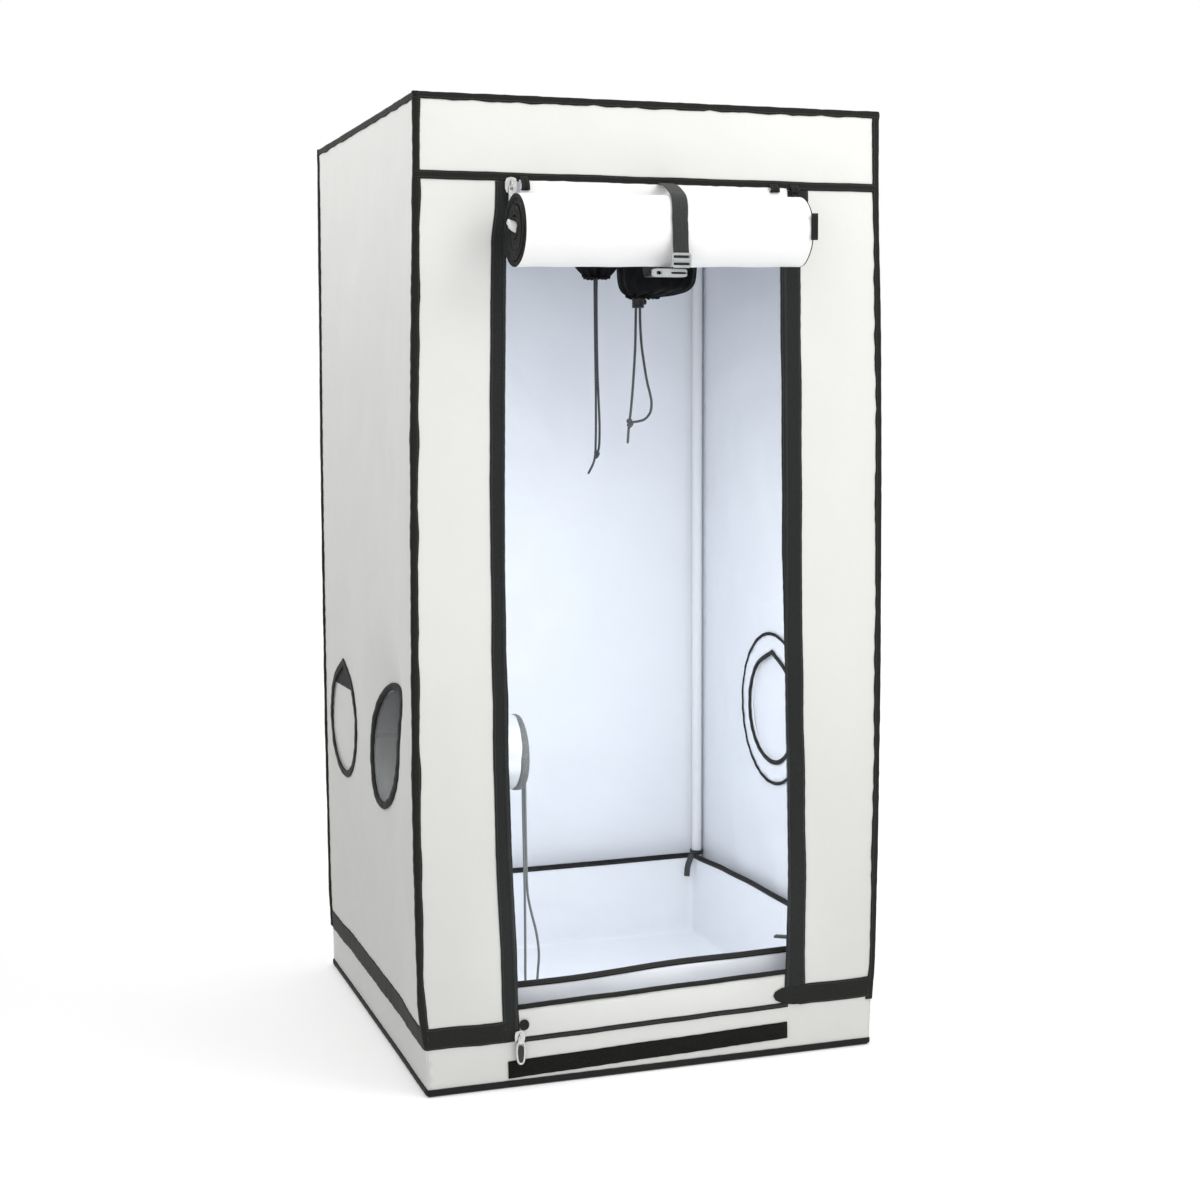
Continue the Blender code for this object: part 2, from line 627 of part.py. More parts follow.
LEFT = across(-0.094, [(-0.1160, 0.4400), (-0.1150, 0.4250), (-0.1145, 0.3900), (-0.1145, 0.3200),
                       (-0.1140, 0.2500), (-0.1135, 0.1750), (-0.1135, 0.1100), (-0.1133, 0.0750),
                       (-0.1123, 0.0585), (-0.1082, 0.0480), (-0.1027, 0.0472), (-0.0985, 0.0540),
                       (-0.0970, 0.0680), (-0.0955, 0.0850), (-0.0938, 0.1020), (-0.0942, 0.1160),
                       (-0.0975, 0.1380), (-0.1030, 0.1620), (-0.1080, 0.1900), (-0.1092, 0.2500),
                       (-0.1097, 0.3200), (-0.1097, 0.3900), (-0.1100, 0.4250), (-0.1108, 0.4400)])


def cords():
    drawstring("drawstring_front_a", FRONT_A, 0.0090)
    drawstring("drawstring_front_b", FRONT_B, 0.0080)
    drawstring("drawstring_rear_a", REAR_A, 0.0095)
    drawstring("drawstring_rear_b", REAR_B, 0.0095)
    drawstring("drawstring_left", LEFT, 0.0105)
    # cord lock: a short barrel, both strands run through its bore
    put("cord_lock", tube((0.064, -0.060, 0.9730), (0.064, -0.060, 0.9910), 0.0095, 0.0066, 16),
        BLACK, 0.45, origin=(0.064, -0.060, 0.982), smooth=True)


# ---------------------------------------------------------------- spill tray
def round_square(a, r, z, per=4):
    pts = []
    for q, (cx, cy) in enumerate(((a - r, a - r), (-a + r, a - r), (-a + r, -a + r),
                                  (a - r, -a + r))):
        for k in range(per):
            t = math.pi / 2 * (q + k / (per - 1))
            pts.append((cx + r * math.cos(t), cy + r * math.sin(t), z))
    return pts


def tray():
    a, top = TRAY_A, TRAY_H
    steps = [(a, 0.0120, CLOTH + GAP), (a, 0.0120, top - 0.0084), (a + 0.0018, 0.0138, top - 0.0084),
             (a + 0.0018, 0.0138, top), (a - 0.0020, 0.0100, top), (a - 0.0020, 0.0100, top - 0.0084),
             (a - 0.0012, 0.0108, top - 0.0084), (a - 0.0012, 0.0108, CLOTH + GAP + 0.0015)]
    put("spill_tray", loft([round_square(*s) for s in steps]), INNER, 0.55,
        origin=(0.0, 0.0, CLOTH + GAP))

    # strap that ties the tray's back right corner to the pole, with its tail inside the tray
    p = Vector((POLE_XY, POLE_XY))
    d = Vector((-1.0, -1.0)).normalized()
    n = Vector((-d.y, d.x))

    def bar(s0, s1, z0, z1):
        pts = [p + d * s0 - n * 0.005, p + d * s1 - n * 0.005,
               p + d * s1 + n * 0.005, p + d * s0 + n * 0.005]
        return slab("Z", [(q.x, q.y) for q in pts], z0, z1)
    z = top + 0.0008
    loop = tube((p.x, p.y, z), (p.x, p.y, z + 0.010), 0.0104, 0.0090, 20)
    put("tray_strap", cut_and_join(
        loop, [("UNION", bar(0.0097, 0.0300, z, z + 0.0015)),
               ("UNION", bar(0.0285, 0.0300, z - 0.0185, z + 0.0015))]), BLACK, 0.75)


def main():
    clear_scene()
    frame()
    hanging_bar("hanging_bar_front", -0.160)
    hanging_bar("hanging_bar_back", 0.048)
    cover()
    binding()
    door()
    strap()
    zips()
    vents()
    cords()
    tray()


main()
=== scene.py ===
"""Looks of the indoor grow tent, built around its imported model: sewn fabric cover, bindings, zips,
rolled door, duct sleeves with drawstrings, poles and spill tray.

Metres, +Z up, door side towards -Y, origin on the ground at the centre of the footprint."""
import math

import bmesh
import bpy
import numpy as np
from mathutils import Matrix, Vector
from mathutils.geometry import delaunay_2d_cdt


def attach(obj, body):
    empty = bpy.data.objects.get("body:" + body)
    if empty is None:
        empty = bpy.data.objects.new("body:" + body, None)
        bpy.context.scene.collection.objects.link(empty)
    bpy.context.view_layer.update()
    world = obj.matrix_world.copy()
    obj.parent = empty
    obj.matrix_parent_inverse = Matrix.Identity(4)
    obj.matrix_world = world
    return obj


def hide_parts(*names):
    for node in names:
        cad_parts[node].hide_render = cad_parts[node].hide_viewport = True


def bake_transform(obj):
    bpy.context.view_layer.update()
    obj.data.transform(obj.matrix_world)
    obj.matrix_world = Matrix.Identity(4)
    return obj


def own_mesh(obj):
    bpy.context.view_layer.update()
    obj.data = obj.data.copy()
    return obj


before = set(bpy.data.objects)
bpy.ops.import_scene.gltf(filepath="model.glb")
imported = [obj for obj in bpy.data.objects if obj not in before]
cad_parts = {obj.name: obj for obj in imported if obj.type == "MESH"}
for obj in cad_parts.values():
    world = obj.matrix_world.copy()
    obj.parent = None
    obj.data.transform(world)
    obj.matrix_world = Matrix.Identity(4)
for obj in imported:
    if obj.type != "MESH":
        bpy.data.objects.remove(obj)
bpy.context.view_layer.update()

TAU = 2 * math.pi
A = 0.300                # half the tent's side
H = 1.216                # ground to roof
POLE_XY = 0.2878
RAIL_LOW, RAIL_TOP = 0.012, 1.204
HEADER_Z = 1.122
SILL_Z = 0.1044
JAMB_X = 0.186
ROLL_Y, ROLL_Z = -0.357, 1.0565
VENT_F = (-0.094, 0.4056)
VENT_R = (0.178, 0.396)
PORT_R = (0.012, 0.4056)
PORT_TOP_F = (0.090, -0.060)
PORT_TOP_R = (0.075, 0.150)
CORD_D = 0.0035


# ---------------------------------------------------------------- camera and light
def camera():
    yaw, pitch, roll = math.radians(18.75), math.radians(-6.18), math.radians(-0.23)
    ahead = Vector((math.sin(yaw) * math.cos(pitch), math.cos(yaw) * math.cos(pitch), math.sin(pitch)))
    right = Vector((math.cos(yaw), -math.sin(yaw), 0.0))
    up = right.cross(ahead)
    r = right * math.cos(roll) + up * math.sin(roll)
    u = up * math.cos(roll) - right * math.sin(roll)
    data = bpy.data.cameras.new("camera")
    data.sensor_width = 36.0
    data.lens = 36.0 * 1963 / 1200
    data.clip_start, data.clip_end = 0.05, 60.0
    cam = bpy.data.objects.new("camera", data)
    turn = Matrix((r, u, -ahead)).transposed().to_4x4()
    cam.matrix_world = Matrix.Translation((-0.8514, -2.5908, 0.8718)) @ turn
    bpy.context.scene.collection.objects.link(cam)
    bpy.context.scene.camera = cam


def area(name, at, to, size, power, colour=(1, 1, 1), size_y=None, spread=180):
    data = bpy.data.lights.new(name, "AREA")
    data.energy, data.size, data.color = power, size, colour
    if size_y:
        data.shape, data.size_y = "RECTANGLE", size_y
    data.spread = math.radians(spread)
    lamp = bpy.data.objects.new(name, data)
    lamp.location = at
    lamp.rotation_mode = "QUATERNION"
    lamp.rotation_quaternion = (Vector(to) - Vector(at)).to_track_quat("-Z", "Y")
    bpy.context.scene.collection.objects.link(lamp)
    return lamp


# ---------------------------------------------------------------- shader helpers
class Shade:
    """A material's node tree with a Principled shader, and short ways to build on it."""

    def __init__(self, name, colour, rough, metal=0.0, spec=0.5, sheen=0.0, coat=0.0, coat_rough=0.1):
        self.mat = bpy.data.materials.new(name)
        self.mat.use_nodes = True
        self.tree = self.mat.node_tree
        self.bsdf = self.tree.nodes["Principled BSDF"]
        s = self.bsdf.inputs
        s["Base Color"].default_value = (*colour, 1.0)
        s["Roughness"].default_value = rough
        s["Metallic"].default_value = metal
        s["Specular IOR Level"].default_value = spec
        s["Sheen Weight"].default_value = sheen
        s["Sheen Roughness"].default_value = 0.4
        s["Coat Weight"].default_value = coat
        s["Coat Roughness"].default_value = coat_rough
        self.mat.diffuse_color = (*colour, 1.0)
        self.colour = colour
        self.height = []

    def new(self, kind, **props):
        node = self.tree.nodes.new(kind)
        for key, value in props.items():
            setattr(node, key, value)
        return node

    def put(self, socket, value):
        if isinstance(value, bpy.types.NodeSocket):
            self.tree.links.new(value, socket)
        else:
            socket.default_value = value

    def math(self, op, a, b=None, c=None, clamp=False):
        node = self.new("ShaderNodeMath", operation=op, use_clamp=clamp)
        for k, v in enumerate((a, b, c)):
            if v is not None:
                self.put(node.inputs[k], v)
        return node.outputs[0]

    def uv(self):
        node = self.new("ShaderNodeSeparateXYZ")
        self.put(node.inputs[0], self.new("ShaderNodeUVMap", uv_map="metric").outputs[0])
        return node.outputs[0], node.outputs[1]

    def place(self):
        return self.new("ShaderNodeTexCoord").outputs["Object"]

    def noise(self, scale, detail=2.0, rough=0.5, stretch=None, coord=None):
        node = self.new("ShaderNodeTexNoise")
        where = coord or self.place()
        if stretch:
            m = self.new("ShaderNodeMapping")
            m.inputs["Scale"].default_value = stretch
            self.put(m.inputs[0], where)
            where = m.outputs[0]
        self.put(node.inputs["Vector"], where)
        node.inputs["Scale"].default_value = scale
        node.inputs["Detail"].default_value = detail
        node.inputs["Roughness"].default_value = rough
        return node.outputs[0]

    def cells(self, scale, coord=None):
        node = self.new("ShaderNodeTexVoronoi")
        self.put(node.inputs["Vector"], coord or self.place())
        node.inputs["Scale"].default_value = scale
        return node.outputs["Distance"]

    def ramp(self, value, low, high, a=0.0, b=1.0):
        node = self.new("ShaderNodeMapRange", interpolation_type="SMOOTHSTEP")
        self.put(node.inputs["Value"], value)
        for key, v in (("From Min", low), ("From Max", high), ("To Min", a), ("To Max", b)):
            node.inputs[key].default_value = v
        return node.outputs[0]

    def weave(self, pitch, u=None, v=None, stretch=1.0):
        """Height of a plain weave, threads a pitch apart, 0 to 1."""
        if u is None:
            u, v = self.uv()
        a = self.math("SINE", self.math("MULTIPLY", u, math.pi / pitch))
        b = self.math("SINE", self.math("MULTIPLY", v, math.pi / (pitch * stretch)))
        over = self.math("MULTIPLY_ADD", self.math("MULTIPLY", a, b), 0.5, 0.5)
        warp = self.math("MULTIPLY", self.math("ABSOLUTE", a), over)
        weft = self.math("MULTIPLY", self.math("ABSOLUTE", b), self.math("SUBTRACT", 1.0, over))
        return self.math("ADD", warp, weft)

    def raise_by(self, height, amount):
        self.height.append((height, amount))

    def mix(self, factor, a, b):
        node = self.new("ShaderNodeMix", data_type="RGBA")
        self.put(node.inputs[0], factor)
        self.put(node.inputs[6], a if isinstance(a, bpy.types.NodeSocket) else (*a, 1.0))
        self.put(node.inputs[7], b if isinstance(b, bpy.types.NodeSocket) else (*b, 1.0))
        return node.outputs[2]

    def tint(self, factor, dark, light):
        self.put(self.bsdf.inputs["Base Color"],
                 self.mix(factor, tuple(c * dark for c in self.colour), tuple(c * light for c in self.colour)))

    def roughen(self, factor, low, high):
        self.put(self.bsdf.inputs["Roughness"], self.ramp(factor, 0.3, 0.7, low, high))

    def done(self):
        last = None
        for height, amount in self.height:
            bump = self.new("ShaderNodeBump")
            bump.inputs["Strength"].default_value = 1.0
            bump.inputs["Distance"].default_value = amount
            self.put(bump.inputs["Height"], height)
            if last is not None:
                self.put(bump.inputs["Normal"], last)
            last = bump.outputs[0]
        if last is not None:
            self.put(self.bsdf.inputs["Normal"], last)
        return self.mat


def cloth(name, colour, rough, pitch=0.0011, thread=0.00004, cockle=0.0005, spread=0.02, spec=0.35,
          sheen=0.08, glow=0.0, rise=None, outer=None):
    """Coated woven cloth: threads, slubs, soft cockles and slight unevenness of colour."""
    s = Shade(name, colour, rough, spec=spec, sheen=sheen)
    s.raise_by(s.noise(38, 3, 0.5), cockle)
    s.raise_by(s.noise(420, 2, 0.6, (1.0, 1.0, 0.25)), 0.00005)
    s.raise_by(s.weave(pitch), thread)
    blotch = s.ramp(s.noise(9, 4, 0.6), 0.30, 0.72)
    slub = s.ramp(s.noise(900, 2, 0.6, (1.0, 1.0, 0.2)), 0.25, 0.8)
    both = s.math("MULTIPLY_ADD", slub, 0.35, s.math("MULTIPLY", blotch, 0.65))
    s.tint(both, 1.0 - spread, 1.0 + spread * 0.6)
    if rise or outer:
        at = s.new("ShaderNodeSeparateXYZ")
        s.put(at.inputs[0], s.place())
        if rise:             # painted shade and painted light: darker towards the ground and a little lighter near the roof, as the light falls from above
            share = s.math("ADD", s.ramp(at.outputs[2], 0.02, 0.70, rise[0], 1.0),
                           s.ramp(at.outputs[2], 0.85, 1.18, 0.0, rise[1] - 1.0))
        else:                # painted shade on the outward face of the tray's front wall, as if the sill in front of it shaded it
            way = s.new("ShaderNodeSeparateXYZ")
            s.put(way.inputs[0], s.new("ShaderNodeTexCoord").outputs["Normal"])
            out = s.math("MULTIPLY", s.ramp(way.outputs[1], -0.9, -0.6, 1.0, 0.0),
                         s.ramp(at.outputs[1], -0.27, -0.24, 1.0, 0.0))
            share = s.math("SUBTRACT", 1.0, s.math("MULTIPLY", out, 1.0 - outer))
        scale = s.new("ShaderNodeVectorMath", operation="SCALE")
        s.put(scale.inputs[0], s.mix(both, tuple(c * (1.0 - spread) for c in colour),
                                     tuple(c * (1.0 + spread * 0.6) for c in colour)))
        s.put(scale.inputs["Scale"], share)
        s.put(s.bsdf.inputs["Base Color"], scale.outputs[0])
    s.roughen(s.noise(60, 2), rough - 0.05, rough + 0.06)
    if glow:
        s.bsdf.inputs["Emission Color"].default_value = (*colour, 1.0)
        s.bsdf.inputs["Emission Strength"].default_value = glow
    return s.done()


def tape(name, colour, rib=0.0013, rough=0.72, stitch=None, sheen=0.25, across=False, depth=0.00012,
         thread=(0.075, 0.075, 0.075)):
    """Narrow woven tape. v in its UV is the distance from the nearest edge, u runs along it."""
    s = Shade(name, colour, rough, spec=0.22, sheen=sheen)
    u, v = s.uv()
    line = s.math("SINE", s.math("MULTIPLY", u if across else v, TAU / rib))
    s.raise_by(line, depth * 0.5)
    s.raise_by(s.weave(rib * 0.7, u, v), depth * 0.6)
    s.raise_by(s.noise(300, 3), 0.0001)
    fuzz = s.ramp(s.noise(700, 3, 0.7), 0.35, 0.75)
    base = s.mix(fuzz, tuple(c * 0.75 for c in colour), tuple(c * 1.5 for c in colour))
    edge = s.ramp(v, 0.0, 0.0012, 1.0, 0.0)
    base = s.mix(s.math("MULTIPLY", edge, 0.45), base, tuple(c * 3.0 for c in colour))
    if stitch:
        near = s.ramp(s.math("ABSOLUTE", s.math("SUBTRACT", v, stitch)), 0.00025, 0.0005, 1.0, 0.0)
        dash = s.ramp(s.math("SINE", s.math("MULTIPLY", u, TAU / 0.0032)), -0.55, -0.25)
        mask = s.math("MULTIPLY", near, dash)
        base = s.mix(mask, base, thread)
        s.raise_by(mask, 0.00025)
    s.put(s.bsdf.inputs["Base Color"], base)
    return s.done()


def hooks(name, colour):
    """Hook-and-loop tape: a pile of small hooks in rows between two plain edges."""
    s = Shade(name, colour, 0.9, spec=0.12, sheen=0.05)
    u, v = s.uv()
    pile = s.ramp(v, 0.0012, 0.0020)
    rows = s.math("MULTIPLY", s.math("SINE", s.math("MULTIPLY", u, TAU / 0.0019)),
                  s.math("SINE", s.math("MULTIPLY", v, TAU / 0.0019)))
    s.raise_by(s.math("MULTIPLY", s.math("MULTIPLY_ADD", s.noise(1100, 2), 1.0, rows), pile), 0.0004)
    s.raise_by(s.cells(1500), 0.0002)
    s.put(s.bsdf.inputs["Base Color"],
          s.mix(s.ramp(s.noise(900, 3, 0.7), 0.4, 0.75), tuple(c * 0.7 for c in colour),
                tuple(c * 2.2 for c in colour)))
    return s.done()


def gathered(name, colour, rough=0.5, sheen=0.1):
    """Thin black coated cloth of the duct sleeves."""
    s = Shade(name, colour, rough, spec=0.12, sheen=sheen)
    s.raise_by(s.noise(70, 4, 0.55, (1.0, 1.0, 0.4)), 0.0007)
    s.raise_by(s.weave(0.0009), 0.00004)
    s.tint(s.ramp(s.noise(30, 3), 0.3, 0.7), 0.8, 1.5)
    s.roughen(s.noise(90, 3), rough - 0.1, rough + 0.12)
    return s.done()


def braid(name, colour, count=8, pitch=0.0042):
    s = Shade(name, colour, 0.75, spec=0.3, sheen=0.3)
    u, v = s.uv()
    along = s.math("MULTIPLY", u, TAU / pitch)
    round_ = s.math("MULTIPLY", v, TAU * count / 2)
    a = s.math("SINE", s.math("ADD", along, round_))
    b = s.math("SINE", s.math("SUBTRACT", along, round_))
    plait = s.math("MULTIPLY", a, b)
    s.raise_by(plait, 0.00022)
    s.raise_by(s.noise(2500, 2), 0.00005)
    s.tint(s.ramp(plait, -0.8, 0.9), 0.55, 1.8)
    return s.done()


def coated(name, colour, rough=0.42, metal=0.0):
    """Powder-coated steel tube: orange peel and a few scuffs."""
    s = Shade(name, colour, rough, metal=metal, spec=0.5)
    s.raise_by(s.noise(900, 2, 0.5), 0.00003)
    s.raise_by(s.noise(45, 3), 0.00008)
    scuff = s.ramp(s.noise(55, 6, 0.7, (1.0, 1.0, 0.12)), 0.62, 0.74)
    s.put(s.bsdf.inputs["Base Color"], s.mix(s.math("MULTIPLY", scuff, 0.35), colour,
                                             tuple(c * 0.72 for c in colour)))
    s.roughen(s.noise(130, 3), rough - 0.06, rough + 0.1)
    return s.done()


def nickel(name, colour=(0.66, 0.66, 0.65)):
    s = Shade(name, colour, 0.22, metal=1.0)
    s.raise_by(s.noise(240, 3), 0.00006)
    s.tint(s.ramp(s.noise(160, 4, 0.6), 0.3, 0.75), 0.8, 1.08)
    s.roughen(s.noise(320, 4, 0.65), 0.16, 0.36)
    return s.done()


def moulded(name, colour, rough=0.45):
    s = Shade(name, colour, rough, spec=0.45)
    s.raise_by(s.noise(1500, 2), 0.00003)
    s.raise_by(s.noise(120, 2), 0.00006)
    s.tint(s.ramp(s.noise(90, 3), 0.3, 0.7), 0.92, 1.06)
    s.roughen(s.noise(400, 3), rough - 0.06, rough + 0.1)
    return s.done()


def netting(name, colour):
    """Screen threads with painted shade: near black at the top where the sleeve shades them, painted paler towards
    their foot where more light reaches them, a little uneven.
    """
    s = Shade(name, colour, 0.6, spec=0.3)
    s.raise_by(s.noise(1500, 2), 0.00002)
    at = s.new("ShaderNodeSeparateXYZ")
    s.put(at.inputs[0], s.place())
    # painted shade: colour runs from near black at the vent's top to pale at its foot
    s.tint(s.math("MULTIPLY", s.ramp(at.outputs[2], 0.330, 0.485, 1.0, 0.04), s.ramp(s.noise(40, 3), 0.2, 0.8, 0.8, 1.0)),
           0.12, 3.4)
    return s.done()


def ground(name, colour):
    s = Shade(name, colour, 0.8, spec=0.15)
    s.tint(s.ramp(s.noise(3, 3), 0.3, 0.7), 0.995, 1.005)
    return s.done()


M = {
    # the cover's colour carries painted shade towards the ground and painted light near the roof
    "cover": cloth("cover_cloth", (0.745, 0.75, 0.725), 0.62, sheen=0.03, rise=(0.83, 1.07)),
    # a darkened grey copy of the white lining: painted shade inside the sleeve behind the front vent
    "sleeve_in_painted_shade": cloth("sleeve_lining_painted_shade", (0.47, 0.485, 0.505), 0.5, pitch=0.0013, thread=0.00003, cockle=0.0006,
                       spread=0.012, spec=0.3, sheen=0.0),
    "lining": cloth("lining_cloth", (0.83, 0.855, 0.90), 0.42, pitch=0.0013, thread=0.00003,
                    cockle=0.0006, spread=0.012, spec=0.5, sheen=0.0),
    "door": cloth("door_cloth", (0.90, 0.90, 0.895), 0.45, thread=0.00003, cockle=0.0006, spread=0.008,
                  spec=0.5, sheen=0.02),
    "base": cloth("base_cloth", (0.045, 0.045, 0.046), 0.6, spread=0.1),
    # the tray's outward front face is darkened as painted shade
    "tray": cloth("tray_sheet", (0.85, 0.87, 0.91), 0.38, pitch=0.0016, thread=0.00002, cockle=0.0007,
                  spread=0.01, spec=0.5, sheen=0.0, outer=0.66),
    "binding": tape("binding_tape", (0.0115, 0.0115, 0.0105), stitch=0.0022, sheen=0.04, thread=(0.05, 0.05, 0.05)),
    "bead": tape("bead_tape", (0.0105, 0.0105, 0.0098), stitch=None, sheen=0.03),
    "zip": tape("zip_tape", (0.0145, 0.016, 0.016), rib=0.0016, stitch=0.0026, sheen=0.06, thread=(0.06, 0.06, 0.06)),
    "webbing": tape("webbing", (0.034, 0.036, 0.037), rib=0.0019, rough=0.66, depth=0.0003, sheen=0.1),
    "hook": hooks("hook_tape", (0.0085, 0.0085, 0.0078)),
    "coil": moulded("zip_coil", (0.012, 0.012, 0.013), 0.35),
    "sleeve": gathered("sleeve_cloth", (0.0030, 0.0030, 0.0033), rough=0.7, sheen=0.0),
    # the screen's colour carries painted shade, dark at the top and pale at the foot
    "screen": netting("mesh_screen", (0.14, 0.143, 0.138)),
    "cord": braid("cord", (0.055, 0.060, 0.064)),
    "cord_grey": braid("cord_grey", (0.13, 0.138, 0.140)),
    "hem": tape("sleeve_hem", (0.115, 0.122, 0.122), rib=0.0015, rough=0.6, sheen=0.1, thread=(0.5, 0.5, 0.5)),
    "steel": coated("frame_steel", (0.79, 0.805, 0.83)),
    "nickel": nickel("zip_metal"),
    "grey": moulded("buckle", (0.40, 0.42, 0.42)),
    "black": moulded("lock_plastic", (0.016, 0.016, 0.017), 0.38),
}


# ---------------------------------------------------------------- mesh helpers
def piece(name, verts, faces, mats, body="tent", slot=None, replaces=(), uv=None, index=None,
          closed=True, smooth=True, ride=True, crisp=None):
    """One object from points and faces; uv has (u, v) for each corner of each face."""
    mesh = bpy.data.meshes.new(name)
    mesh.from_pydata([tuple(map(float, p)) for p in verts], [], [tuple(map(int, f)) for f in faces])
    layer = mesh.uv_layers.new(name="metric")
    if uv is not None:
        flat = np.array([c for face in uv for c in face], np.float32).reshape(-1, 2)
        layer.data.foreach_set("uv", flat.ravel())
    for mat in mats if isinstance(mats, (list, tuple)) else [mats]:
        mesh.materials.append(mat)
    if index is not None:
        mesh.polygons.foreach_set("material_index", np.array(index, np.int32))
    if closed:
        bm = bmesh.new()
        bm.from_mesh(mesh)
        bmesh.ops.recalc_face_normals(bm, faces=bm.faces)
        bm.to_mesh(mesh)
        bm.free()
    mesh.update()
    if smooth:
        mesh.shade_smooth()
        if crisp:
            mesh.set_sharp_from_angle(angle=math.radians(crisp))
    obj = bpy.data.objects.new(name, mesh)
    bpy.context.scene.collection.objects.link(obj)
    if ride:
        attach(obj, body)
    if replaces:
        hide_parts(*replaces)
    return obj


def sweep(path, e1, e2, section, vs=None, loop=False, caps=True, v_end=None):
    """Skin of a closed section (a, b) carried along a path as point + a e1 + b e2.

    Returns (points, faces, uv). vs gives v at each section point, v_end the value back at the first."""
    path = np.asarray(path, float)
    count = len(path)
    e1 = np.broadcast_to(np.asarray(e1, float), (count, 3))
    e2 = np.broadcast_to(np.asarray(e2, float), (count, 3))
    sec = np.asarray(section, float)
    if sec.ndim == 2:
        sec = np.broadcast_to(sec, (count, *sec.shape))
    n = sec.shape[1]
    pts = path[:, None] + sec[..., :1] * e1[:, None] + sec[..., 1:] * e2[:, None]
    gaps = np.linalg.norm(np.diff(path, axis=0), axis=1)
    u = np.concatenate([[0.0], np.cumsum(gaps)])
    vs = np.zeros(n) if vs is None else np.asarray(vs, float)
    wrap = np.concatenate([vs, [vs[0] if v_end is None else v_end]])
    faces, uv = [], []
    for i in range(count if loop else count - 1):
        k = (i + 1) % count
        u0, u1 = u[i], u[k] if k else u[i] + np.linalg.norm(path[0] - path[-1])
        for j in range(n):
            m = (j + 1) % n
            faces.append((i * n + j, i * n + m, k * n + m, k * n + j))
            uv.append(((u0, wrap[j]), (u0, wrap[j + 1]), (u1, wrap[j + 1]), (u1, wrap[j])))
    if caps and not loop:
        faces.append(tuple(range(n))[::-1])
        uv.append([(u[0], vs[j]) for j in range(n)][::-1])
        faces.append(tuple((count - 1) * n + j for j in range(n)))
        uv.append([(u[-1], vs[j]) for j in range(n)])
    return pts.reshape(-1, 3), faces, uv


def together(*parts):
    """Several (points, faces, uv) as one."""
    verts, faces, uv, base = [], [], [], 0
    for p, f, t in parts:
        verts.append(np.asarray(p, float))
        faces += [tuple(base + i for i in face) for face in f]
        uv += list(t)
        base += len(p)
    return np.vstack(verts), faces, uv


def tape_section(width, thick, sink=0.0004):
    """Flat tape with soft edges: (points, distance of each from the nearest edge)."""
    h, t = width / 2, thick
    a = [(-h + 0.0004, -sink), (-h, 0.35 * t), (-h + 0.25 * t, 0.78 * t), (-h + 0.8 * t, 0.98 * t)]
    mid = [(-h * 0.45, t * 1.04), (0.0, t * 1.02), (h * 0.45, t * 1.04)]
    pts = a + mid + [(-p[0], p[1]) for p in a[::-1]]
    return np.array(pts), [max(0.0, h - abs(p[0])) for p in pts]


def along(path, normal, width, thick, loop=False, sink=0.0004, wobble=0.0, seed=1):
    """A tape on a surface: path on the surface, normal pointing out of it."""
    path = np.asarray(path, float)
    normal = np.broadcast_to(np.asarray(normal, float), path.shape)
    if loop:
        t = np.roll(path, -1, 0) - np.roll(path, 1, 0)
    else:
        t = np.gradient(path, axis=0)
    t /= np.linalg.norm(t, axis=1)[:, None]
    e1 = np.cross(t, normal)
    e1 /= np.linalg.norm(e1, axis=1)[:, None]
    sec, vs = tape_section(width, thick, sink)
    sec = np.broadcast_to(sec, (len(path), *sec.shape)).copy()
    if wobble:
        w = ripples(seed, 5, 0.03, 0.11)
        run = np.concatenate([[0.0], np.cumsum(np.linalg.norm(np.diff(path, axis=0), axis=1))])
        d = field(w, run, run * 0)
        sec[..., 0] += (d * wobble)[:, None]
        sec[..., 1] *= (1 + 0.12 * field(ripples(seed + 50, 5, 0.01, 0.05), run, run * 0))[:, None]
    return sweep(path, e1, normal, sec, vs, loop)


def line(p, q, step=0.008):
    p, q = np.array(p, float), np.array(q, float)
    n = max(2, int(math.ceil(np.linalg.norm(q - p) / step)) + 1)
    return p + (q - p) * np.linspace(0, 1, n)[:, None]


def ripples(seed, count, low, high):
    r = np.random.default_rng(seed)
    angle, length, phase = r.uniform(0, TAU, count), r.uniform(low, high, count), r.uniform(0, TAU, count)
    return np.cos(angle) * TAU / length, np.sin(angle) * TAU / length, phase, length / length.mean() / math.sqrt(count)


def field(waves, u, v):
    total = 0.0
    for kx, ky, ph, am in zip(*waves):
        total = total + am * np.sin(kx * u + ky * v + ph)
    return total


def ease(t):
    t = np.clip(t, 0.0, 1.0)
    return t * t * (3 - 2 * t)


# ---------------------------------------------------------------- how the cloth lies
def lie(u, v, seams, seed, pillow, wrinkle, rings=()):
    """How far cloth stands out of its flat plane: 0 along seams, with small puckers beside them."""
    dist = np.full(np.shape(u), 9.0)
    pucker = np.zeros(np.shape(u))
    shake = field(ripples(seed + 7, 5, 0.05, 0.16), u, v)
    for kind, pos, lo, hi in seams:
        a, b = (u, v) if kind == "u" else (v, u)
        past = np.maximum(np.maximum(lo - b, b - hi), 0.0)
        d = np.hypot(a - pos, past)
        dist = np.minimum(dist, d)
        pucker += np.sin(b * TAU / 0.021 + 2.2 * shake + pos * 9) * np.exp(-((d - 0.012) / 0.011) ** 2)
    for cu, cv, r in rings:
        d = np.abs(np.hypot(u - cu, v - cv) - r)
        d = np.where(np.hypot(u - cu, v - cv) < r, 0.0, d)
        dist = np.minimum(dist, d)
        turn = np.arctan2(v - cv, u - cu)
        pucker += np.sin(turn * 26 + 2 * shake) * np.exp(-((d - 0.010) / 0.012) ** 2)
    soft = dist * dist / (dist * dist + 0.035 ** 2)
    broad = field(ripples(seed, 6, 0.18, 0.50), u, v)
    fold = field(ripples(seed + 3, 7, 0.05, 0.14), u, v)
    crease = np.abs(field(ripples(seed + 5, 4, 0.16, 0.36), u, v))
    return (pillow * soft + wrinkle * soft * (0.55 * broad + 0.30 * fold - 0.5 * np.exp(-crease * 9) * soft)
            + 0.00032 * pucker)


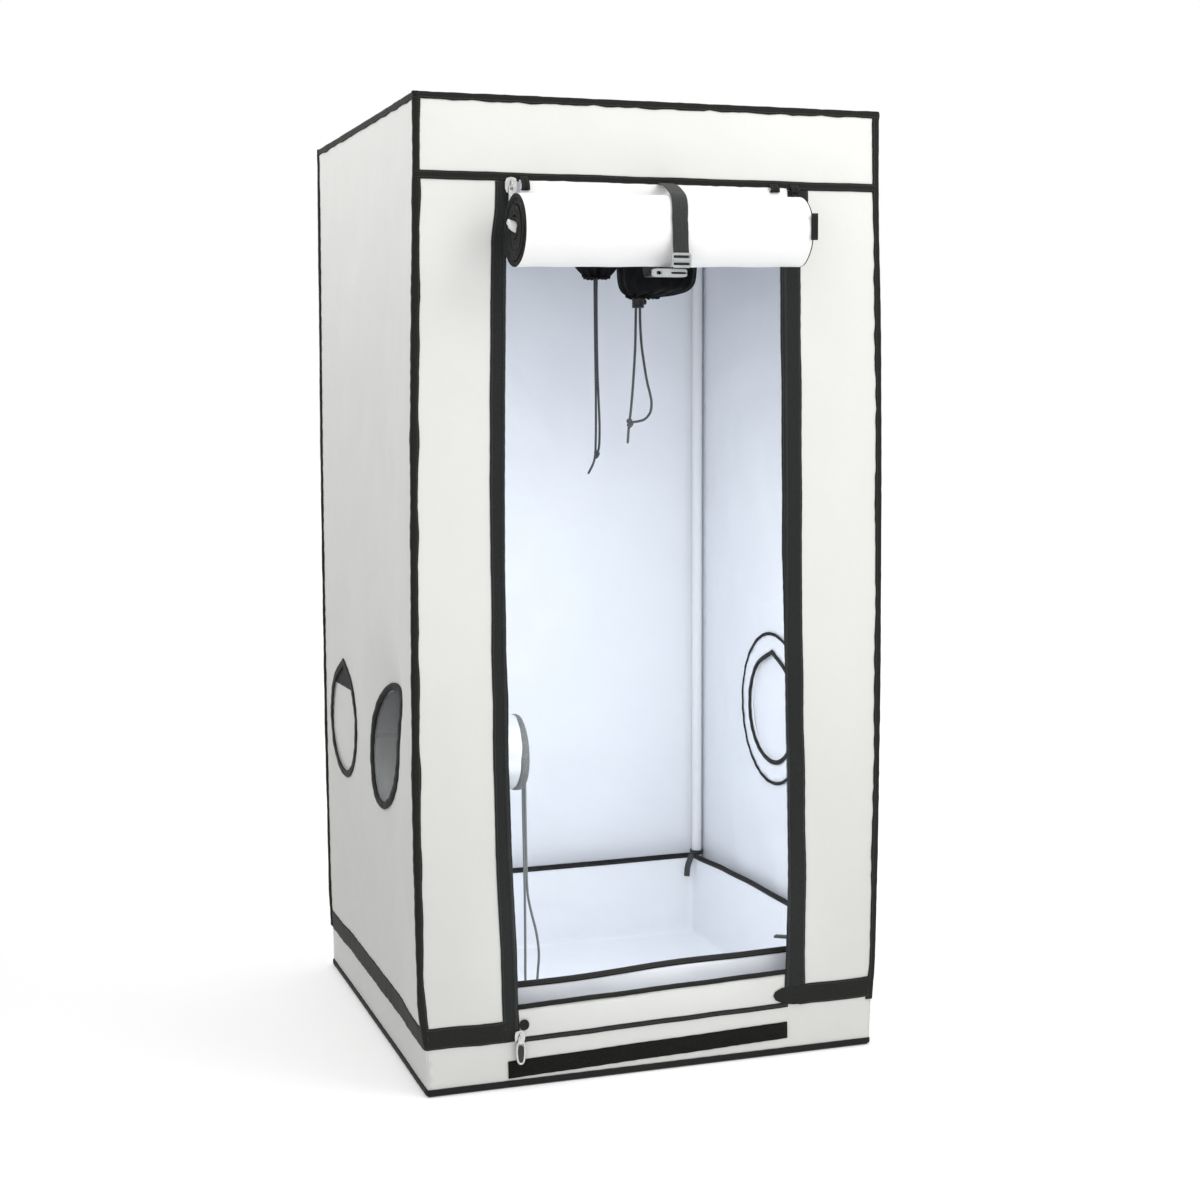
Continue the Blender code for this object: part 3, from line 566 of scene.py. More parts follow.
def front(x, z):
    jamb = 0.193
    seams = [("u", -A, 0, H), ("u", A, 0, H), ("u", -jamb, 0.06, HEADER_Z), ("u", jamb, 0.06, HEADER_Z),
             ("v", 0.004, -A, A), ("v", H, -A, A), ("v", HEADER_Z, -A, A), ("v", 0.102, -jamb, jamb),
             ("v", 0.062, -jamb, jamb), ("v", 0.0285, -jamb, jamb), ("v", 0.072, -A, -jamb), ("v", 0.072, jamb, A)]
    return lie(x, z, seams, 11, 0.0022, 0.0016)


def wall(y, z, seed, rings):
    seams = [("u", -A, 0, H), ("u", A, 0, H), ("v", 0.004, -A, A), ("v", H, -A, A), ("v", 0.072, -A, A)]
    return lie(y, z, seams, seed, 0.0034, 0.0026, rings)


def left(y, z):
    return wall(y, z, 23, [(*VENT_F, 0.083), (VENT_R[0], VENT_R[1] + 0.004, 0.084)])


def right(y, z):
    return wall(y, z, 37, [(*PORT_R, 0.100)])


def back(x, z):
    return wall(x, z, 41, [])


def roof(x, y):
    seams = [("u", -A, -A, A), ("u", A, -A, A), ("v", -A, -A, A), ("v", A, -A, A)]
    return lie(x, y, seams, 53, -0.0012, 0.0010, [(*PORT_TOP_F, 0.056), (*PORT_TOP_R, 0.051)])


BOW = 0.0068             # how far the corner seams stand out sideways at half height


LEVELS = np.linspace(0.0, 1.22, 245)


def spread(pairs):
    """Smooth curve, over height, of how far a front corner stands out beside its bow."""
    raw = np.interp(np.linspace(-0.05, 1.27, 265), [a for a, _ in pairs], [b for _, b in pairs])
    k = np.exp(-(np.arange(-8, 9) / 3.6) ** 2)
    return np.convolve(np.pad(raw, 8, mode="edge"), k / k.sum(), "valid")[10:255] * 0.001


SPREAD_L = spread([(0.0, 0.8), (0.05, 1.6), (0.085, 6.0), (0.115, 9.0), (0.163, 9.0), (0.236, 8.2), (0.357, 7.4),
                   (0.48, 5.8), (0.60, 4.4), (0.72, 3.7), (0.84, 3.3), (0.96, 2.5), (1.06, 2.2), (1.12, 1.8), (1.22, 0.8)])
SPREAD_R = spread([(0.0, 2.2), (0.06, 4.2), (0.085, 6.4), (0.108, 7.8), (0.186, 7.6), (0.316, 6.8), (0.446, 5.7),
                   (0.576, 4.7), (0.706, 4.0), (0.837, 4.0), (0.967, 3.4), (1.07, 1.7), (1.14, 1.0), (1.22, 0.4)])


def settle(points):
    """Moves points of the sewn cover from flat planes to where the cloth really hangs."""
    p = np.array(points, float)
    x, y, z = p[:, 0].copy(), p[:, 1].copy(), p[:, 2].copy()
    near = 0.028
    wf, wb = ease((-y - A + near + 0.02) / near), ease((y - A + near + 0.02) / near)
    wl, wr = ease((-x - A + near + 0.02) / near), ease((x - A + near + 0.02) / near)
    wt = ease((z - H + 0.035) / 0.03)
    p[:, 1] += wb * back(x, z) - wf * front(x, z)
    p[:, 0] += wr * right(y, z) - wl * left(y, z)
    p[:, 2] += wt * roof(x, y)
    up = np.clip((z - 0.06) / (1.125 - 0.06), 0, 1)
    bow = np.sin(math.pi * up) ** 1.1
    share = np.where(y < 0, ease((-y - 0.12) / 0.16), np.where(x < 0, 0.35, 0.0) * ease((y - 0.12) / 0.16))
    edge = ease((np.abs(x) - 0.205) / 0.09)
    p[:, 0] += np.sign(x) * share * (BOW * bow * ease((np.abs(x) - 0.09) / 0.09)
                                     + np.where(x < 0, np.interp(z, LEVELS, SPREAD_L), np.interp(z, LEVELS, SPREAD_R)) * edge)
    # the sleeve behind the front vent draws the rim in at its top and lets it stand out at its foot
    across = np.exp(-((y - VENT_F[0]) / 0.095) ** 2) * np.maximum(wl, 0)
    p[:, 0] += across * (0.0165 * np.exp(-((z - VENT_F[1] - 0.080) / 0.055) ** 2)
                         - 0.0085 * np.exp(-((z - VENT_F[1] + 0.080) / 0.055) ** 2))
    p[:, 1] += np.maximum(wb, 0) * 0.003 * bow
    jamb = np.maximum(wf, 0) * ease((np.abs(x) - 0.11) / 0.05) * (1 - ease((np.abs(x) - 0.215) / 0.07))
    p[:, 0] -= np.where(x > 0, 0.0115 * ease((z - 0.15) / 0.42) * (1 - ease((z - 1.04) / 0.05)), 0.0045 * (1 - ease((z - 1.04) / 0.05)) * ease((z - 0.10) / 0.30)) * jamb
    return p


# ---------------------------------------------------------------- cut cloth
def inside(poly, pts):
    poly = np.asarray(poly, float)
    x, y = pts[:, 0], pts[:, 1]
    found = np.zeros(len(pts), bool)
    for (x0, y0), (x1, y1) in zip(poly, np.roll(poly, -1, 0)):
        if y0 == y1:
            continue
        cross = (y0 > y) != (y1 > y)
        found ^= cross & (x < (x1 - x0) * (y - y0) / (y1 - y0) + x0)
    return found


def dense(loop, step):
    out = []
    for p, q in zip(loop, list(loop[1:]) + [loop[0]]):
        n = max(1, int(math.ceil(math.dist(p, q) / step)))
        out += [(p[0] + (q[0] - p[0]) * k / n, p[1] + (q[1] - p[1]) * k / n) for k in range(n)]
    return out


def cut(outline, holes=(), step=0.010, keep_off=0.5):
    """Triangles of a flat piece of cloth with holes: (points, triangles)."""
    loops = [dense(outline, step)] + [dense(h, step * 0.6) for h in holes]
    border = np.array([p for loop in loops for p in loop])
    lo, hi = border.min(0), border.max(0)
    rows = []
    for k, v in enumerate(np.arange(lo[1] + step * 0.5, hi[1], step * 0.87)):
        us = np.arange(lo[0] + step * (0.5 if k % 2 else 1.0), hi[0], step)
        rows.append(np.stack([us, np.full(len(us), v)], 1))
    grid = np.vstack(rows)
    ok = inside(loops[0], grid)
    for loop in loops[1:]:
        ok &= ~inside(loop, grid)
    grid = grid[ok]
    far = np.ones(len(grid), bool)
    for k in range(0, len(border), 200):
        far &= (np.linalg.norm(grid[:, None] - border[None, k:k + 200], axis=2) > step * keep_off).all(1)
    pts = np.vstack([border, grid[far]])
    edges, start = [], 0
    for loop in loops:
        edges += [(start + j, start + (j + 1) % len(loop)) for j in range(len(loop))]
        start += len(loop)
    out = delaunay_2d_cdt([Vector((float(a), float(b))) for a, b in pts], edges, [], 0, 1e-7)
    flat = np.array([(p.x, p.y) for p in out[0]])
    tris = np.array([f for f in out[2] if len(f) == 3])
    mid = flat[tris].mean(1)
    ok = inside(loops[0], mid)
    for loop in loops[1:]:
        ok &= ~inside(loop, mid)
    return flat, tris[ok]


def circle(u, v, r, count=64):
    return [(u + r * math.cos(TAU * i / count), v + r * math.sin(TAU * i / count)) for i in range(count)]


def pointed(u, v, r, apex, count=60):
    """A round outline drawn up to a point at the top."""
    half = math.acos(r / apex)
    a0, a1 = math.pi / 2 + half, math.pi / 2 - half + TAU
    pts = [(u, v + apex)]
    return pts + [(u + r * math.cos(a0 + (a1 - a0) * i / (count - 1)),
                   v + r * math.sin(a0 + (a1 - a0) * i / (count - 1))) for i in range(count)]


def panel(name, flat, tris, lift, mats, slot, replaces=(), body="tent", thick=0.0012, settled=True):
    """Cloth of some thickness from a flat cut; lift turns (u, v) into points of its outer face.

    Its outer face looks along +u x +v; mats are the outer and the inner finish."""
    pts = lift(flat[:, 0], flat[:, 1])
    if settled:
        pts = settle(pts)
    uv = [[tuple(flat[i]) for i in t] for t in tris]
    obj = piece(name, pts, tris, mats, body, slot, replaces, uv=uv, closed=False)
    solid = obj.modifiers.new("thickness", "SOLIDIFY")
    solid.thickness, solid.offset = thick, -1.0
    solid.use_even_offset = True
    solid.material_offset = 1
    solid.material_offset_rim = 1
    return obj


def facing(tris, flip):
    return tris[:, ::-1] if flip else tris


def turned(flat, tris, want_ccw=True):
    """Triangles all turning the same way in the flat plane."""
    a, b, c = flat[tris[:, 0]], flat[tris[:, 1]], flat[tris[:, 2]]
    cross = (b[:, 0] - a[:, 0]) * (c[:, 1] - a[:, 1]) - (b[:, 1] - a[:, 1]) * (c[:, 0] - a[:, 0])
    wrong = (cross < 0) if want_ccw else (cross > 0)
    out = tris.copy()
    out[wrong] = out[wrong][:, ::-1]
    return out


def rect(u0, u1, v0, v1):
    return [(u0, v0), (u1, v0), (u1, v1), (u0, v1)]


def cover():
    low, high = 0.0015, H - 0.0015
    ones = np.ones_like
    flat, tris = cut(rect(-A, A, low, high), [[(-JAMB_X, SILL_Z - 0.0012), (JAMB_X, SILL_Z + 0.0074), (JAMB_X, HEADER_Z),
                                             (-JAMB_X, HEADER_Z)]])
    obj = panel("cover_front_cloth", flat, turned(flat, tris), lambda u, v: np.stack([u, -A * ones(u), v], 1),
                [M["cover"], M["lining"]], "cover_cloth", ["cover_front"])
    flat, tris = cut(rect(-A, A, low, high))
    obj = panel("cover_back_cloth", flat, turned(flat, tris, False), lambda u, v: np.stack([u, A * ones(u), v], 1),
                [M["cover"], M["lining"]], "cover_cloth", ["cover_back"])
    b = A - 0.0015
    flat, tris = cut(rect(-b, b, low, high), [[(VENT_F[0] + a * 1.09, VENT_F[1] - 0.0012 + b * 0.965) for a, b in circle(0, 0, 0.0760)],
                                         pointed(VENT_R[0], VENT_R[1], 0.0725, 0.0810)])
    obj = panel("cover_left_cloth", flat, turned(flat, tris, False), lambda u, v: np.stack([-A * ones(u), u, v], 1),
                [M["cover"], M["lining"]], "cover_cloth", ["cover_left"])
    flat, tris = cut(rect(-b, b, low, high), [pointed(*PORT_R, 0.0760, 0.0875)])
    obj = panel("cover_right_cloth", flat, turned(flat, tris), lambda u, v: np.stack([A * ones(u), u, v], 1),
                [M["cover"], M["lining"]], "cover_cloth", ["cover_right"])
    flat, tris = cut(rect(-A, A, -A, A), [circle(*PORT_TOP_F, 0.052), circle(*PORT_TOP_R, 0.047)], 0.012)
    obj = panel("cover_roof_cloth", flat, turned(flat, tris), lambda u, v: np.stack([u, v, H * ones(u)], 1),
                [M["cover"], M["lining"]], "cover_cloth", ["cover_roof"])
    flat, tris = cut(rect(-A, A, -A, A), [], 0.02)
    obj = panel("cover_floor_cloth", flat, turned(flat, tris), lambda u, v: np.stack([u, v, 0.0012 * ones(u)], 1),
                [M["base"], M["base"]], "base_cloth", ["cover_floor"], settled=False)


def bead(path, e1, e2, reach=0.0072, proud=0.0018, seed=1):
    """Seam binding folded round an edge where two panels meet; e1 and e2 point along the panels."""
    r, t = reach, proud
    sec = [(r, 0.0004), (r, -0.45 * t), (r - 0.3 * t, -0.85 * t), (r - 0.9 * t, -t), (r * 0.45, -t * 1.06),
           (0.0, -t), (-0.62 * t, -0.62 * t), (-t, 0.0), (-t * 1.06, r * 0.45), (-t, r - 0.9 * t),
           (-0.85 * t, r - 0.3 * t), (-0.45 * t, r), (0.0004, r), (0.0006, 0.0006)]
    vs = [0.0, 0.0006, 0.0012, 0.0018, 0.0040, 0.0070, 0.0074, 0.0070, 0.0040, 0.0018, 0.0012, 0.0006, 0.0, 0.004]
    path = np.asarray(path, float)
    run = np.concatenate([[0.0], np.cumsum(np.linalg.norm(np.diff(path, axis=0), axis=1))])
    k = 1 + 0.10 * field(ripples(seed, 5, 0.015, 0.07), run, run * 0)
    sec = np.array(sec)[None] * np.stack([k, k], 1)[:, None]
    return sweep(path, e1, e2, sec, vs)


def rounded_loop(z, out, r=0.004, step=0.008):
    """Points and outward normals of a level loop round the tent."""
    pts, nrm = [], []
    s = out - r
    for cx, cy, a0 in ((s, s, 0.0), (-s, s, 90.0), (-s, -s, 180.0), (s, -s, 270.0)):
        for k in range(5):
            t = math.radians(a0 + 22.5 * k)
            pts.append((cx + r * math.cos(t), cy + r * math.sin(t), z))
            nrm.append((math.cos(t), math.sin(t), 0.0))
    full_p, full_n = [], []
    for i in range(len(pts)):
        p, q = np.array(pts[i]), np.array(pts[(i + 1) % len(pts)])
        n = max(1, int(np.linalg.norm(q - p) / step))
        for k in range(n):
            full_p.append(p + (q - p) * k / n)
            m = np.array(nrm[i]) + (np.array(nrm[(i + 1) % len(pts)]) - np.array(nrm[i])) * k / n
            full_n.append(m / np.linalg.norm(m))
    return np.array(full_p), np.array(full_n)


def bindings():
    x_, y_, z_ = np.eye(3)
    parts = []
    seed = 60
    for sx in (-1, 1):
        for sy in (-1, 1):
            seed += 1
            parts.append(bead(line((sx * A, sy * A, 0.062), (sx * A, sy * A, H + 0.0012)),
                              -sx * x_, -sy * y_, proud=0.0028 if sx < 0 < sy else 0.0018, seed=seed))
    for s in (-1, 1):
        seed += 1
        parts.append(bead(line((-A - 0.0012, s * A, H), (A + 0.0012, s * A, H)), -s * y_, -z_, seed=seed))
        parts.append(bead(line((s * A, -A - 0.0012, H), (s * A, A + 0.0012, H)), -s * x_, -z_, seed=seed + 9))
    parts.append(along(line((-A - 0.0006, -A, HEADER_Z), (A + 0.0006, -A, HEADER_Z)), -y_, 0.0105, 0.0019,
                       wobble=0.0003, seed=5))
    v, f, t = together(*parts)
    piece("edge_piping", settle(v), f, M["binding"], slot="binding_tape", replaces=["edge_binding"], uv=t)

    # wide band above the ground, from jamb to jamb round the sides and the back
    pts, nrm = rounded_loop(0.072, A, 0.0035)
    order = np.argsort(np.arctan2(pts[:, 0], pts[:, 1]))  # starts and ends at the middle of the front
    pts, nrm = pts[order], nrm[order]
    keep = ~((pts[:, 1] < -A + 0.001) & ((pts[:, 0] > -0.1965) & (pts[:, 0] < 0.1985)))
    pts[:, 2] += 0.0008 + 0.0058 * ease(pts[:, 0] / 0.20) * ease((0.15 - pts[:, 1]) / 0.40)
    v, f, t = along(pts[keep], nrm[keep], 0.0275, 0.0017, wobble=0.0004, seed=6)
    piece("base_band", settle(v), f, M["binding"], slot="binding_tape", uv=t)

    pts, nrm = rounded_loop(0.0052, A, 0.0035)
    v, f, t = along(pts, nrm, 0.0082, 0.0024, loop=True)
    piece("ground_bead", settle(v), f, M["bead"], slot="binding_tape", replaces=["ground_piping"], uv=t)
    v, f, t = along(line((-0.1835, -A, 0.1026), (0.1800, -A, 0.1113)), -y_, 0.0070, 0.0019, wobble=0.0002, seed=8)
    piece("sill_piping", settle(v), f, M["bead"], slot="binding_tape", replaces=["sill_binding"], uv=t)
    v, f, t = along(line((-0.1975, -A, 0.0228), (0.183, -A, 0.0326)), -y_, 0.0225, 0.0019, wobble=0.0002, seed=9)
    piece("hook_strip", settle(v), f, M["hook"], slot="hook_tape", replaces=["sill_hook_strip"], uv=t)


def coil(p, q, across, out, pitch=0.0021, width=0.0038, height=0.0013):
    """Zip coil: a row of small rounded loops between two points."""
    p, q, across, out = (np.array(v, float) for v in (p, q, across, out))
    n = int(np.linalg.norm(q - p) / pitch)
    t = (q - p) / np.linalg.norm(q - p)
    parts = []
    for k in range(n):
        c = p + t * pitch * (k + 0.5)
        bar = [(-0.5, 0.0), (-0.42, 0.75), (-0.2, 1.0), (0.25, 1.0), (0.5, 0.8), (0.5, 0.0)]
        pts = []
        for s in (-1, 1):
            for a, b in bar:
                pts.append(c + across * a * width + out * b * height * (1.0 if s else 1) + t * s * pitch * 0.36)
        m = len(bar)
        faces = [(j, (j + 1) % m, m + (j + 1) % m, m + j) for j in range(m)]
        faces += [tuple(range(m))[::-1], tuple(range(m, 2 * m))]
        parts.append((np.array(pts), faces, [[(0.0, 0.0)] * len(f) for f in faces]))
    return together(*parts)


def zip_tapes():
    y_ = np.array((0.0, -1.0, 0.0))
    parts = []
    for s in (-1, 1):
        x = -0.1932 if s < 0 else 0.1918
        tape_ = (along(line((x, -A, 0.0590 if s < 0 else 0.0672), (x, -A, 1.1165)), y_, 0.0212 if s < 0 else 0.0238, 0.0016,
                           wobble=0.0003, seed=12 + s))
        z = tape_[0][:, 2]
        if s < 0:
            tape_[0][:, 0] -= np.where(tape_[0][:, 0] > x, np.interp(z, [0.50, 0.64, 1.05, 1.09], [0.0, 0.0021, 0.0021, 0.0]),
                                       np.interp(z, [0.28, 0.40, 0.62, 0.76], [0.0, -0.0012, -0.0012, 0.0]))
        else:
            tape_[0][:, 0] += np.where(tape_[0][:, 0] < x,
                                       np.interp(z, [0.10, 0.19, 0.32, 0.46, 0.58, 0.66], [-0.0016, 0.0, 0.0016, 0.0018, -0.0010, -0.0038]),
                                       np.interp(z, [0.09, 0.13, 0.50, 0.64], [0.0040, 0.0026, 0.0028, 0.0006]))
        parts.append(tape_)
    parts.append(along(line((-0.1840, -A, 0.0598), (0.1840, -A, 0.0666)), y_, 0.0070, 0.0012, wobble=0.0003, seed=15))
    v, f, t = together(*parts)
    piece("zip_tapes", settle(v), f, M["zip"], slot="zip_tape", replaces=["door_zip_tape"], uv=t)
    parts = []
    for s in (-1, 1):
        x = -0.1864 if s < 0 else 0.1822
        parts.append(coil((x, -A - 0.0010, 0.068), (x, -A - 0.0010, 1.1160), (s, 0, 0), y_))
    parts.append(coil((-0.176, -A - 0.0008, 0.0600), (0.1815, -A - 0.0008, 0.0666), (0, 0, 1), y_, width=0.0036))
    v, f, t = together(*parts)
    piece("zip_coils", settle(v), f, M["coil"], slot="zip_tape", uv=t, smooth=False)


# ---------------------------------------------------------------- shared shapes
def rod(p, q, r, sides=32, wall=0.0):
    """Round bar or tube between two points."""
    p, q = np.array(p, float), np.array(q, float)
    t = (q - p) / np.linalg.norm(q - p)
    e1 = np.cross(t, (0.0, 0.0, 1.0) if abs(t[2]) < 0.9 else (1.0, 0.0, 0.0))
    e1 /= np.linalg.norm(e1)
    e2 = np.cross(t, e1)
    a = np.arange(sides) * TAU / sides
    ring = np.stack([np.cos(a), np.sin(a)], 1)
    vs = np.arange(sides) / sides * TAU * r
    if not wall:
        return sweep([p, q], e1, e2, ring * r, vs, v_end=TAU * r)
    pts, faces, uv = [], [], []
    for c, rad in ((p, r), (q, r), (q, r - wall), (p, r - wall)):
        pts += [c + (e1 * u + e2 * v) * rad for u, v in ring]
    for k in range(4):
        for j in range(sides):
            m = (j + 1) % sides
            n = (k + 1) % 4
            faces.append((k * sides + j, k * sides + m, n * sides + m, n * sides + j))
            uv.append([(0.0, vs[j])] * 4)
    return np.array(pts), faces, uv


def block(cx, cy, cz, sx, sy, sz):
    pts = [(cx + a * sx / 2, cy + b * sy / 2, cz + c * sz / 2) for c in (-1, 1) for a, b in
           ((-1, -1), (1, -1), (1, 1), (-1, 1))]
    faces = [(3, 2, 1, 0), (4, 5, 6, 7), (0, 1, 5, 4), (1, 2, 6, 5), (2, 3, 7, 6), (3, 0, 4, 7)]
    uv = [[(pts[i][0] + pts[i][1], pts[i][2]) for i in f] for f in faces]
    return np.array(pts), faces, uv


def plate(outline, holes, thick, place):
    """Flat part with holes; place turns (u, v, w) rows into points, w from 0 to thick."""
    loops = [list(outline)] + [list(h) for h in holes]
    flat, edges, start = [], [], 0
    for loop in loops:
        flat += loop
        edges += [(start + j, start + (j + 1) % len(loop)) for j in range(len(loop))]
        start += len(loop)
    out = delaunay_2d_cdt([Vector((float(a), float(b))) for a, b in flat], edges, [], 0, 1e-8)
    pts = np.array([(p.x, p.y) for p in out[0]])
    tris = np.array([f for f in out[2] if len(f) == 3])
    mid = pts[tris].mean(1)
    ok = inside(loops[0], mid)
    for loop in loops[1:]:
        ok &= ~inside(loop, mid)
    tris = tris[ok]
    n = len(pts)
    faces = [tuple(t[::-1]) for t in tris] + [tuple(t + n) for t in tris]
    start = 0
    for loop in loops:
        for j in range(len(loop)):
            a, b = start + j, start + (j + 1) % len(loop)
            faces.append((a, b, b + n, a + n))
        start += len(loop)
    both = np.vstack([np.c_[pts, np.zeros(n)], np.c_[pts, np.full(n, thick)]])
    uv = [[tuple(both[i][:2]) for i in f] for f in faces]
    return place(both), faces, uv


def soften(obj, width, segments=3, angle=35):
    """Rounded edges on a hard part."""
    weld = obj.modifiers.new("weld", "WELD")
    weld.merge_threshold = 0.00001
    edge = obj.modifiers.new("edges", "BEVEL")
    edge.width, edge.segments, edge.limit_method = width, segments, "ANGLE"
    edge.angle_limit = math.radians(angle)
    edge.harden_normals = False
    return obj


def oval(u, v, a, b, power=2.0, count=40):
    out = []
    for i in range(count):
        t = TAU * i / count
        c, s = math.cos(t), math.sin(t)
        out.append((u + a * math.copysign(abs(c) ** (2 / power), c), v + b * math.copysign(abs(s) ** (2 / power), s)))
    return out


# ---------------------------------------------------------------- rolled door
ROLL_LEFT, ROLL_RIGHT = -0.1968, 0.1670
ROLL_TURNS = 5.70
PITCH = 0.038 / ROLL_TURNS


def roll_r(t):
    return 0.0459 - PITCH * t / TAU


def wound(t, x, out=0.0, ruck=1.0):
    """Points of the rolled door: t radians on from its back, going down; out is further outwards."""
    t, x = np.asarray(t, float), np.asarray(x, float)
    run = t * (0.0459 - 0.5 * PITCH * t / TAU)
    soft = 0.00055 * field(ripples(71, 6, 0.05, 0.22), x, run) + 0.00022 * field(ripples(72, 6, 0.018, 0.05), x, run)
    sag = 0.0005 * np.sin((x - 0.0125) * math.pi / 0.37 + math.pi / 2)
    r = roll_r(t) + out + ruck * soft + sag * 0.6
    tilt = 0.0058 * (x + 0.197) / 0.364
    return np.stack([x + 0 * t, ROLL_Y + r * np.cos(-t), ROLL_Z + tilt + r * np.sin(-t)], -1)


def sheet_grid(name, pts, us, vs, mats, slot, body="tent", replaces=(), thick=0.0009, index=None, flip=False,
               ride=True):
    """A rectangular cloth from a grid of points, us and vs its metric coordinates."""
    n, m = pts.shape[:2]
    faces, uv, idx = [], [], []
    for i in range(n - 1):
        for j in range(m - 1):
            f = (i * m + j, (i + 1) * m + j, (i + 1) * m + j + 1, i * m + j + 1)
            t = [(us[i], vs[j]), (us[i + 1], vs[j]), (us[i + 1], vs[j + 1]), (us[i], vs[j + 1])]
            if flip:
                f, t = f[::-1], t[::-1]
            faces.append(f)
            uv.append(t)
            idx.append(0 if index is None else index(i, j))
    obj = piece(name, pts.reshape(-1, 3), faces, mats, body, slot, replaces, uv=uv, index=idx, closed=False,
                ride=ride)
    solid = obj.modifiers.new("thickness", "SOLIDIFY")
    solid.thickness, solid.offset = thick, -1.0
    solid.material_offset = 1
    solid.material_offset_rim = 1
    return obj


def squashed(obj):
    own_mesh(obj)
    return obj


def door():
    last = ROLL_TURNS * TAU
    ts = np.linspace(0, last, 286)
    ends = np.array([0.0, 0.0014, 0.0045, 0.010, 0.018])
    xs = np.concatenate([ROLL_LEFT + ends, np.linspace(ROLL_LEFT + 0.024, ROLL_RIGHT - 0.024, 54),
                         ROLL_RIGHT - ends[::-1]])
    grid_x, grid_t = np.meshgrid(xs, ts, indexing="ij")
    # the turns don't lie quite flush at the ends
    skew = 0.0012 * np.sin(grid_t * 0.9 + 0.5) * (grid_x > 0) - 0.0010 * np.sin(grid_t * 0.8 + 2.0) * (grid_x < 0)
    pts = wound(grid_t, grid_x)
    pts[..., 0] += skew * np.abs(grid_x - 0.0) / 0.19
    run = np.concatenate([[0.0], np.cumsum(roll_r(ts[1:]) * np.diff(ts))])
    m = len(xs)

    def which(i, j):
        if i == 0 or i == m - 2 or (j > 60 and (i < 3 or i > m - 5)):
            return 4
        return 2 if i < 4 or i > m - 6 else 0
    obj = sheet_grid("door_cloth", pts, xs, run, [M["door"], M["cover"], M["door"], M["zip"], M["bead"], M["zip"]],
                     "door_cloth", "roll", ["door_roll"], 0.0009, which)
    squashed(obj)

    parts = []
    for end, s in ((ROLL_LEFT, 1), (ROLL_RIGHT, -1)):
        tt = np.linspace(0.15, last - 0.1, 300)
        sk = 0.0012 * np.sin(tt * 0.9 + 0.5) if s < 0 else -0.0010 * np.sin(tt * 0.8 + 2.0)
        mid = wound(tt, np.full(300, end + s * 0.0032), -0.0009)
        mid[:, 0] += sk
        radial = np.stack([0 * tt, np.cos(-tt), np.sin(-tt)], 1)
        d = 0.0052
        sec = np.array([(0.0, -0.0024), (-0.0006, -0.0030), (-d * 0.5, -0.0034), (-d + 0.0007, -0.0030), (-d, -0.0022),
                        (-d, 0.0030), (0.0, 0.0030)])
        wob = 1 + 0.16 * field(ripples(int(30 + s), 6, 0.01, 0.06), tt * 0.03, tt * 0)
        secs = sec[None] * np.stack([np.ones(300), wob], 1)[:, None]
        parts.append(sweep(mid, radial, (s, 0, 0), secs, [0.0, 0.001, 0.0025, 0.001, 0.0, 0.003, 0.003]))
    v, f, t = together(*parts)
    squashed(piece("door_zip_edges", v, f, M["bead"], "roll", "zip_tape", uv=t))

    # the tightly wound middle, standing out a little at the left end
    tt = np.linspace(0, 3.1 * TAU, 120)
    rr = 0.0078 - 0.0058 * tt / tt[-1]
    xs2 = np.array([ROLL_LEFT - 0.0074, ROLL_LEFT - 0.0062, ROLL_LEFT - 0.0030, ROLL_LEFT + 0.004, ROLL_LEFT + 0.02,
                    ROLL_LEFT + 0.06])
    core = np.stack([np.stack([np.full(120, x) - (0.0014 * np.sin(tt * 0.7) if x < ROLL_LEFT else 0),
                               ROLL_Y + rr * k * np.cos(-tt - 1.2), ROLL_Z + up + rr * k * np.sin(-tt - 1.2)], 1)
                     for x, k, up in zip(xs2, (0.58, 0.76, 0.86, 0.95, 0.98, 0.95), (0.0066, 0.0060, 0.0040, 0.0012, 0, 0))])
    obj = sheet_grid("door_core", core, xs2, tt * 0.005, [M["door"], M["door"]], "door_cloth", "roll", (), 0.0008)
    squashed(obj)

    # end of the zip tape, left sticking out at the right end of the roll
    path = [(x, ROLL_Y - 0.0432 + 0.0004 * math.sin(k), ROLL_Z + 0.0070) for k, x in
            enumerate(np.linspace(ROLL_RIGHT - 0.004, ROLL_RIGHT + 0.0042, 6))]
    v, f, t = along(path, (0, -1, 0), 0.0320, 0.0016)
    squashed(piece("door_tape_end", v, f, M["binding"], "roll", "zip_tape", uv=t))

    # cloth from the header seam down to the back of the roll
    way = np.array([(-0.3004, 1.1206), (-0.3022, 1.1178), (-0.3046, 1.1120), (-0.3066, 1.1040), (-0.3084, 1.0930),
                    (-0.3096, 1.0800), (-0.3102, 1.0680), (-0.3104, 1.0575)])
    s = np.concatenate([[0.0], np.cumsum(np.linalg.norm(np.diff(way, axis=0), axis=1))])
    fine = np.linspace(0, s[-1], 40)
    wy, wz = np.interp(fine, s, way[:, 0]), np.interp(fine, s, way[:, 1])
    share = fine / s[-1]
    xs = np.linspace(-0.1742, 0.1742, 64)
    gx, gs = np.meshgrid(xs, fine, indexing="ij")
    fold = 0.0008 * field(ripples(81, 5, 0.03, 0.12), gx, gs) * np.sin(math.pi * gs / s[-1])
    pts = np.stack([gx - 0.0028 * share[None] * (gx > 0) * (gx / 0.174), np.broadcast_to(wy, gx.shape) + fold,
                    np.broadcast_to(wz, gx.shape)], -1)
    obj = sheet_grid("door_top_cloth", pts, xs, fine, [M["door"], M["lining"]], "cover_cloth",
                     "tent", ["door_curtain"], 0.0009, flip=True, ride=False)
    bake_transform(obj)

